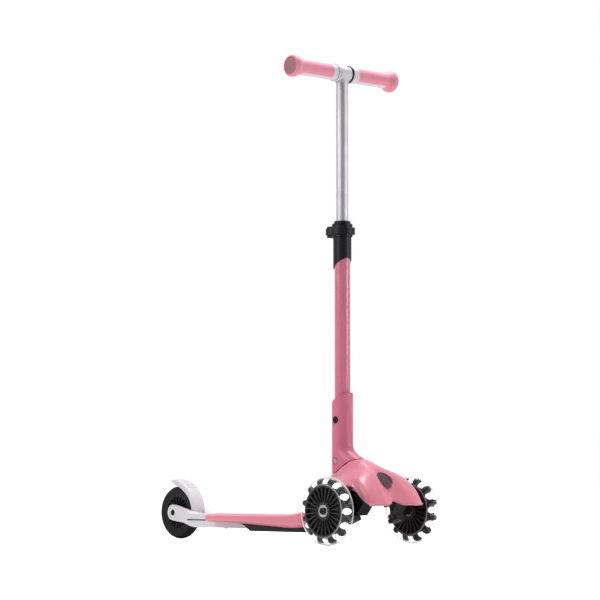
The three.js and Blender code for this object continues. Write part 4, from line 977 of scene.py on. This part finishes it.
@dataclass
class Deck:
    """The deck: a slim pink board that rises to the nose, with a ribbed mat and a black tray.

    The lines below and above are heights, as shares of the deck's, along it from its front.
    """

    half: float = 62.0
    tail: float = -369.0
    front: float = -105.0
    height: float = 47.0
    below: Outline = (
        (0, 0.638), (0.034, 0.636), (0.133, 0.57), (0.36, 0.625), (0.602, 0.696), (0.739, 0.723),
        (1, 0.745))
    above: Outline = (
        (0, 1.213), (0.034, 1.164), (0.095, 1.074), (0.182, 1.011), (0.36, 1), (0.739, 1), (1, 0.979))
    crown: float = 4.0
    corner: float = 1.8
    edge: float = 1.7
    shoulder: float = 8.5
    taper: float = 14.0
    taper_depth: float = 8.0
    taper_power: float = 1.6
    even_steps: int = 48
    close_steps: tuple[float, ...] = (0.006, 0.012, 0.022, 0.038, 0.053, 0.975, 0.985, 0.992, 0.997)
    channel: Outline = ((-38.3, 0), (38.3, 0), (38.3, 40.3), (-38.3, 40.3))
    channel_end: float = -202.0
    mat: Triple = (-358.0, -140.0, 48.0)
    mat_gap: float = 0.3
    mat_sink: float = 0.9
    mat_low: float = 50.4
    mat_high: float = 52.2
    mat_edge: float = 4.0
    mat_corner: float = 4.0
    bed_top: float = 120.0
    plate_drop: float = 1.1
    ridges: int = 17
    ridge_height: float = 1.3
    ridge_share: float = 0.39
    ridge_narrow: float = 0.4
    ridge_ends: Outline = ((6, 0.1), (6.5, 0.6), (8, 1))
    tray_gap: float = 0.3
    tray_half: float = 46.0
    tray_top: tuple[float, ...] = (-105.3, -114, -140, -170, -200, -230, -264, -290)
    tray_under: Outline = ((-277, 28.5), (-264, 19.5), (-114.3, 19.5))
    tray_room: Outline = ((-300, 23.1), (-121, 23.1), (-121, 90), (-300, 90))
    tray_room_half: float = 38.6

    def build(self, bench: Bench) -> None:
        """Make the board, the mat and the tray."""
        even = [i / self.even_steps for i in range(self.even_steps + 1)]
        rings = [self._section(share) for share in sorted({*self.close_steps, *even})]
        channel = prism("channel", self.channel, "x", self.tail - 5, self.channel_end)
        floor = self.height + self.crown - self.mat_sink
        bed = prism("bed", rectangle(*self.mat, grow=self.mat_gap), "z", floor, self.bed_top)
        bench.put("board", bench.joined(skin("board", rings), [channel, bed]), "deck_shell", crease=40)
        bench.put("mat", self._mat(), "deck_mat", crease=50)
        bench.put("tray", self._tray(), "under_tray", edge=0.9, crease=25)

    def _mat(self) -> Mesh:
        """Return the mat: a thin plate with softly rounded ridges along it."""
        low, high, tall = self.mat_low, self.mat_high, self.ridge_height
        rear, front, half = self.mat
        outline = rounded(rectangle(*self.mat), self.mat_corner)
        parts = [prism("plate", outline, "z", low, high - self.plate_drop)]
        wide = 2 * (half - self.mat_edge) / self.ridges
        places = [(rear + inset, share) for inset, share in self.ridge_ends]
        places += [(front - inset, share) for inset, share in reversed(self.ridge_ends)]
        arch = [(-1, 0), *arc((0, 0), 1, 165, 15, 8), (1, 0)]
        for k in range(self.ridges):
            y = -half + self.mat_edge + wide * (k + 0.5)
            rings = []
            for x, share in places:
                reach = self.ridge_narrow + (1 - self.ridge_narrow) * share
                rings.append([at(x, y + self.ridge_share * wide * a * reach, high - tall + tall * b * share)
                              for a, b in arch])
            parts.append(skin("ridge", rings))
        return gathered("mat", parts)

    def _tray(self) -> Mesh:
        """Return the black tray below the deck, open upward for the rails."""
        length = self.front - self.tail
        line = [(x, self._height(self.below, (self.front - x) / length) - self.tray_gap)
                for x in self.tray_top]
        plate = prism("tray", [line[-1], *self.tray_under, *line], "y", -self.tray_half, self.tray_half)
        inside = prism("room", self.tray_room, "y", -self.tray_room_half, self.tray_room_half)
        return Bench.joined(plate, [inside])

    def _height(self, line: Outline, share: float) -> float:
        """Return a side line's height at a share of the deck from its front."""
        for (a, low), (b, high) in zip(line, line[1:]):
            if a <= share <= b:
                t = (share - a) / (b - a)
                return self.height * (low + (high - low) * t)
        return self.height * line[-1][1]

    def _section(self, share: float) -> list[Vector]:
        """Return one cross section, its corners rounded."""
        x = self.front + share * (self.tail - self.front)
        low, high = (sum(self._height(line, min(1, max(0, share + k))) for k in (-0.02, 0, 0.02)) / 3
                     for line in (self.below, self.above))
        half = self.half
        behind, ahead = x - self.tail, self.front - x
        if behind < self.corner:
            half -= self.corner - math.sqrt(max(0, self.corner ** 2 - (self.corner - behind) ** 2))
        if ahead < self.taper:
            half -= self.taper_depth * (1 - ahead / self.taper) ** self.taper_power
        inner = half - self.shoulder
        outline = rounded([(-inner, low), (inner, low), (half, low + self.crown), (half, high),
                           (inner, high + self.crown), (-inner, high + self.crown), (-half, high),
                           (-half, low + self.crown)], self.edge, 4)
        return [at(x, y, z) for y, z in outline]


@dataclass
class FrontWheel:
    """A light-up wheel: slotted core, dark lugs, small lamps whose white glow is a painted highlight, and a
    clear tyre.
    """

    side: int
    track: float = 214.0
    radius: float = 60.0
    lugs: int = 12
    rim: Outline = ((43.7, -9.6), (44.1, -10.3), (45.0, -10.3), (45.2, -9.8))
    tread: Outline = (
        (46.2, -11.2), (48.5, -12), (51, -11.9), (54, -10.7), (56.6, -8.9), (58.8, -6), (59.8, -3), (60, 0))
    tyre_seat: Outline = ((45.3, 10), (45.3, -10))
    band: Outline = ((45.6, -8), (47.4, -8), (47.4, 8), (45.6, 8))
    lug: Sequence[Triple] = (
        (46.8, 6.0, 8.4), (49, 5.6, 8.8), (52, 5.2, 8.6), (54.8, 4.8, 7.4), (56.6, 3.9, 5.2),
        (57.4, 2.2, 2.8))
    lug_power: float = 0.6
    lug_rings: int = 14
    lamp_foot: float = 47.2
    lamp_rings: int = 8
    lamp: Triple = (8.0, 6.0, 9.4)
    lamp_power: float = 0.7

    @property
    def name(self) -> str:
        """Return which wheel it is."""
        return "left" if self.side > 0 else "right"

    @property
    def hub(self) -> Triple:
        """Return the wheel's centre."""
        return (0, self.side * self.track / 2, self.radius)

    def build(self, bench: Bench) -> None:
        """Make the wheel's pieces."""
        name, hub = self.name, self.hub
        node = f"front_core_{name}"
        core = Core(hub, radius=43.6, ribs=24, inner=16.2, outer=41.6)
        bench.put(f"core_{name}", core.mesh(), node, crease=35)
        rim = turned("rim", mirrored(self.rim), "y", hub, 140)
        bench.put(f"rim_{name}", rim, node, crease=40, finish=Slot.RIM)
        profile = [*mirrored(through(self.tread, 20)), *self.tyre_seat]
        tyre = turned("tyre", profile, "y", hub, 160)
        bench.put(f"tyre_{name}", tyre, f"front_tyre_{name}", crease=60)
        band = turned("band", self.band, "y", hub, 120)
        lugs = gathered("lugs", [band, *(self._lug(turn) for turn in angles(self.lugs, 0.5))])
        bench.put(f"lugs_{name}", lugs, f"light_ring_{name}", crease=40)
        lamps = gathered("lamps", [self._lamp(turn) for turn in angles(self.lugs)])
        # The lamps glow white: a painted highlight between the lugs.
        bench.put(f"lamps_{name}", lamps, f"light_ring_{name}", crease=50, finish=Slot.GLOW)
        for node in ("bearing_outer", "bearing_inner", "axle_bolt"):
            bench.refine(f"{node}_{name}", 0.3)

    def _around(self, turn: float, out: float, along: float, across: float) -> Vector:
        """Return a place near the rim.

        Args:
            turn: the angle round the hub.
            out: millimetres from the hub's centre.
            along: millimetres round the rim from the angle.
            across: millimetres along the axle.

        Returns:
            The place.
        """
        x, y, z = self.hub
        ux, uz = math.cos(turn), math.sin(turn)
        return at(x + ux * out - uz * along, y + across, z + uz * out + ux * along)

    def _lug(self, turn: float) -> Mesh:
        """Return one lug: a rounded block that swells outward."""
        return skin("lug", [[
            self._around(turn, out, long * squared(math.cos(a), self.lug_power),
                         wide * squared(math.sin(a), self.lug_power))
            for a in angles(28)] for out, long, wide in through(self.lug, self.lug_rings)])

    def _lamp(self, turn: float) -> Mesh:
        """Return one small domed lamp between two lugs."""
        height, long, wide = self.lamp
        rings = []
        for i in range(self.lamp_rings):
            a = math.pi / 2 * i / (self.lamp_rings - 0.5)
            out, grow = self.lamp_foot + height * math.sin(a), math.cos(a) ** self.lamp_power
            rings.append([self._around(turn, out, long * grow * math.cos(b), wide * grow * math.sin(b))
                          for b in angles(24)])
        return skin("lamp", rings)


@dataclass
class RearEnd:
    """The rear wheel, its white frame and the ribbed fender that brakes it."""

    wheelbase: float = 508.0
    radius: float = 50.0
    half: float = 14.6
    clear: float = 1.8
    rise: float = 10.0
    wall: float = 2.2
    start: float = -2.0
    end: float = 101.0
    ribs: int = 9
    rib_height: float = 1.0
    rib_from: float = 0.56
    rib_to: float = 0.97
    rib_span: float = 0.41
    side_drop: float = 4.5
    side_swell: float = 4.0
    tail_from: float = 0.95
    tail_inset: float = 1.4
    steps: int = 96
    pin: tuple[float, float] = (-446.5, 40.5)
    foot_half: float = 8.7
    eye: float = 5.0
    pin_bore: float = 2.8
    tread: Outline = (
        (33.3, -10), (36, -10.6), (40, -11.9), (43.5, -11.7), (46.6, -9.6), (48.9, -6), (49.8, -3), (50, 0))
    groove: Outline = ((38.0, -11.2), (38.4, -10.7), (38.9, -11.5))
    groove_room: tuple[float, float] = (37.8, 39.1)
    # A black strip in each side groove of the frame: painted shade of the groove.
    groove_shade: Outline = (
        (-447, 36.5), (-394, 36.5), (-394, 38.6), (-447, 38.6))
    side_line_depths: tuple[float, float] = (37.0, 38.08)

    def build(self, bench: Bench) -> None:
        """Make the wheel, the frame with a black strip of painted shade in each side groove, and the
        fender.
        """
        hub = (-self.wheelbase, 0, self.radius)
        half = through(self.tread, 22)
        low, high = self.groove_room
        flank = [*(p for p in half if p[0] < low), *self.groove, *(p for p in half if p[0] > high)]
        tyre = turned("rear tyre", mirrored(flank), "y", hub, 150)
        bench.put("rear_tyre.fine", tyre, "rear_tyre", crease=50)
        core = Core(hub, radius=33.0, ribs=20, inner=14.6, outer=30.2)
        bench.put("core_rear", core.mesh(), "rear_core", crease=35)
        bench.refine("rear_frame", 0.9)
        # Each side groove gets a black strip: painted shade.
        for side, name in ((-1, "right"), (1, "left")):
            low, high = sorted(side * depth for depth in self.side_line_depths)
            line = prism("line", rounded(self.groove_shade, 1), "y", low, high)
            bench.put(f"side_line_{name}", line, "rear_frame", finish=Slot.BLACK, extra=True)
        bench.put("fender.fine", self._fender(), "fender", crease=30)

    def _spot(self, share: float, out: float, across: float) -> Vector:
        """Return a place on the fender.

        Args:
            share: how far along it, from the front.
            out: millimetres outward from its inner face.
            across: millimetres to the left.

        Returns:
            The place.
        """
        turn = math.radians(self.start + (self.end - self.start) * share)
        radius = self.radius + self.clear + self.rise * share ** 2 + out
        return at(-self.wheelbase + radius * math.cos(turn), across, self.radius + radius * math.sin(turn))

    def _fender(self) -> Mesh:
        """Return the fender: one shell with side lips and ribs, and its hinge."""
        half_foot, (x, z) = self.foot_half, self.pin
        outline = [(-456.2, 50), (-456.2, z), (x, z - 3), (x + 4.6, z + 1), (x + 3, z + 5), (-454, 50)]
        foot = prism("foot", outline, "y", -half_foot, half_foot)
        eye = bar("eye", self.eye, "y", (x, 0, z), -half_foot, half_foot, 40)
        shell = skin("fender", [self._slice(k / self.steps) for k in range(self.steps + 1)])
        body = Bench.joined(shell, [foot, eye], Join.ADD)
        return Bench.joined(body, [bar("pin way", self.pin_bore, "y", (x, 0, z), -20, 20, 32)])

    def _slice(self, share: float) -> list[Vector]:
        """Return one cross section of the fender at a share of its length."""
        drop = -self.side_drop - self.side_swell * math.sin(math.pi * share ** 2)
        half = self.half - self.tail_inset * max(0, (share - self.tail_from) / (1 - self.tail_from)) ** 2
        wave = math.sin(self.ribs * 2 * math.pi * (share - self.rib_from) / self.rib_span)
        wall = self.wall
        top = wall + (self.rib_height if self.rib_from < share < self.rib_to and wave > 0 else 0)
        outer = [(0, drop), (0, wall - 1.6), (0.5, wall - 0.5), (1.6, wall), (3.4, wall), (4.0, top)]
        inner = [(2.0, drop), (2.2, -0.6), (2.8, 0)]
        section = [*[(-half + a, b) for a, b in outer], *[(half - a, b) for a, b in reversed(outer)],
                   *[(half - a, b) for a, b in inner], *[(-half + a, b) for a, b in reversed(inner)]]
        return [self._spot(share, out, across) for across, out in section]


@dataclass
class Hardware:
    """The smaller pieces, with how far each is rounded, in millimetres."""

    rounding: dict[str, float] = field(default_factory=lambda: {
        "t_joint": 0.5, "handle_left": 0.5, "handle_right": 0.5, "grip_left": 0.5, "grip_right": 0.5,
        "grip_cap_left": 0.4, "grip_cap_right": 0.4, "clamp_collar": 0.6, "clamp_ring": 0.6,
        "clamp_lever": 1.0, "clamp_sleeve": 0.5, "hinge_block": 0.6, "knuckle_left": 0.6,
        "knuckle_right": 0.6})
    plain: float = 0.3
    bar_place: Triple = (-69.0, 0, 845.0)
    ring_bore: float = 11.0
    ring_round: float = 0.5
    rings: dict[str, Triple] = field(default_factory=lambda: {
        "handle_ring_right": (14.2, -15.4, -13.7), "handle_ring_left": (15.6, 13.6, 17.6)})
    axle: Triple = (-508.0, 0, 50.0)
    cup: Outline = (
        (5.2, 17.8), (8.2, 17.8), (8.2, 18.5), (7.8, 18.75), (5.2, 18.75))
    lobe_half: float = 57.2
    lobe_edge: float = 0.8
    lobe_front: Outline = (
        (51.0, 90.0), (20.5, 51.0), (20.5, 50.0), (60.0, 50.0), (60.0, 90.0))

    def build(self, bench: Bench) -> None:
        """Slope the crossmember, make the rings and cups, and refine every CAD node left."""
        slope = prism("slope", self.lobe_front, "y", -self.lobe_half, self.lobe_half)
        housing = bench.joined(bench.copied("crossmember"), [slope])
        bench.put("crossmember.fine", housing, "crossmember", self.lobe_edge)
        bore, soft = self.ring_bore, self.ring_round
        for node, (radius, low, high) in self.rings.items():
            profile = [(bore, low), (radius - soft, low), (radius, low + soft), (radius, high - soft),
                       (radius - soft, high), (bore, high)]
            bench.put(f"{node}.fine", turned("ring", profile, "y", self.bar_place, 72), node, crease=40)
        for side, node in ((-1, "rear_axle"), (1, "rear_axle_nut")):
            cup = turned("cup", [(radius, side * along) for radius, along in self.cup], "y", self.axle, 6)
            bench.put(f"{node}_cup", cup, "rear_frame", finish=Slot.BLACK, extra=True)
        for node in frame["nodes"]:
            if node not in bench.stood_for:
                bench.refine(node, self.rounding.get(node, self.plain))


@dataclass
class Studio:
    """A pale floor, soft lamps and the camera at the photograph's angle."""

    lens: float = 140.086
    eye: Triple = (2890.28, -2951.40, 130.95)
    yaw: float = 0.80493
    pitch: float = -0.072681
    floor: Triple = (0.9, 0.9, 0.9)
    glow: float = 0.9
    floor_radius: float = 12.0
    sensor: float = 36.0
    farthest: float = 50.0
    dim_side: Triple = (0.62, -0.66, 0.42)
    sky: Outline = (
        (0.0, 1.5), (0.18, 1.0), (0.4, 0.4), (0.6, 0.22), (0.8, 0.12), (1.0, 0.06))
    lamps: Sequence[tuple[str, Triple, Triple, float, float]] = (
        ("lamp_left", (-700, -2300, 1400), (0, 0, 350), 1.2, 30),
        ("lamp_right", (2300, 1500, 900), (0, 0, 400), 0.9, 24),
        ("lamp_top", (-300, 300, 2400), (0, 0, 300), 1.1, 59),
    )

    def build(self) -> None:
        """Make the floor, the world, the lamps and the camera."""
        self._floor()
        self._world()
        for name, place, aim, size, power in self.lamps:
            self._lamp(name, place, aim, size, power)
        self._camera()
        bpy.context.scene.view_settings.view_transform = "Standard"

    def _floor(self) -> None:
        """Lay a wide pale floor, whose glow lights only itself."""
        mesh = bpy.data.meshes.new("floor")
        ring = [(self.floor_radius * math.cos(a), self.floor_radius * math.sin(a), 0) for a in angles(64)]
        mesh.from_pydata(ring, [], [list(range(len(ring)))])
        floor = placed("floor", mesh)
        recipe = Recipe(bpy.data.materials.new("floor"))
        recipe.set(Base_Color=self.floor, Roughness=0.7, Specular_IOR_Level=0.1, Emission_Color=(1, 1, 1),
                   Emission_Strength=self.glow)
        mesh.materials.append(recipe.owner)
        own = bpy.data.collections.new("lit by the floor")
        own.objects.link(floor)
        floor.light_linking.receiver_collection = own

    def _world(self) -> None:
        """Light the room from a pale world, dim on the photographed side, that looks white itself."""
        world = bpy.data.worlds.new("studio")
        bpy.context.scene.world = world
        sky = Recipe(world, "Background")
        direction = sky.node("ShaderNodeTexCoord", out="Generated")
        facing = sky.node("ShaderNodeVectorMath", {"operation": "DOT_PRODUCT"},
                          {0: direction, 1: self.dim_side}, out="Value")
        stops = [(place, (level, level, level)) for place, level in self.sky]
        light = sky.node("ShaderNodeValToRGB", {"stops": stops}, {0: 0.5 * facing + 0.5})
        camera, glass = (sky.node("ShaderNodeLightPath", out=f"Is {kind} Ray")
                         for kind in ("Camera", "Transmission"))
        sky.set(Color=sky.blend(camera.maths("MAXIMUM", glass), light, (1, 1, 1)))

    def _lamp(self, name: str, place: Triple, aim: Triple, size: float, power: float) -> None:
        """Hang one square lamp.

        Args:
            name: its name.
            place: where it hangs, in millimetres from the front axle.
            aim: the place it shines at.
            size: its side in metres.
            power: its power in watts.
        """
        data = bpy.data.lights.new(name, "AREA")
        data.size = size
        data.energy = power
        lamp = placed(name, data)
        lamp.location = at(*place)
        lamp.rotation_euler = (at(*aim) - at(*place)).to_track_quat("-Z", "Y").to_euler()

    def _camera(self) -> None:
        """Set the camera up where the photograph was taken."""
        data = bpy.data.cameras.new("camera")
        data.lens = self.lens
        data.sensor_width = self.sensor
        data.sensor_fit = "HORIZONTAL"
        data.clip_end = self.farthest
        camera = placed("camera", data)
        level = math.cos(self.pitch)
        back = Vector((math.sin(self.yaw) * level, -math.cos(self.yaw) * level, math.sin(self.pitch)))
        right = Vector((math.cos(self.yaw), math.sin(self.yaw), 0))
        turn = Matrix((right, back.cross(right), back)).transposed().to_4x4()
        camera.matrix_world = Matrix.Translation(at(*self.eye)) @ turn
        bpy.context.scene.camera = camera


def main() -> None:
    """Build every sub-assembly in order."""
    logging.basicConfig(level=logging.INFO, format="%(name)s: %(message)s")
    wardrobe = Wardrobe()
    wardrobe.dress_frame()
    bench = Bench(wardrobe)
    neck = Neck()
    neck.build(bench)
    Nose().build(bench, neck)
    Deck().build(bench)
    FrontWheel(side=-1).build(bench)
    FrontWheel(side=1).build(bench)
    RearEnd().build(bench)
    Hardware().build(bench)
    Studio().build()
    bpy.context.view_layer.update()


if __name__ == "__main__":
    main()
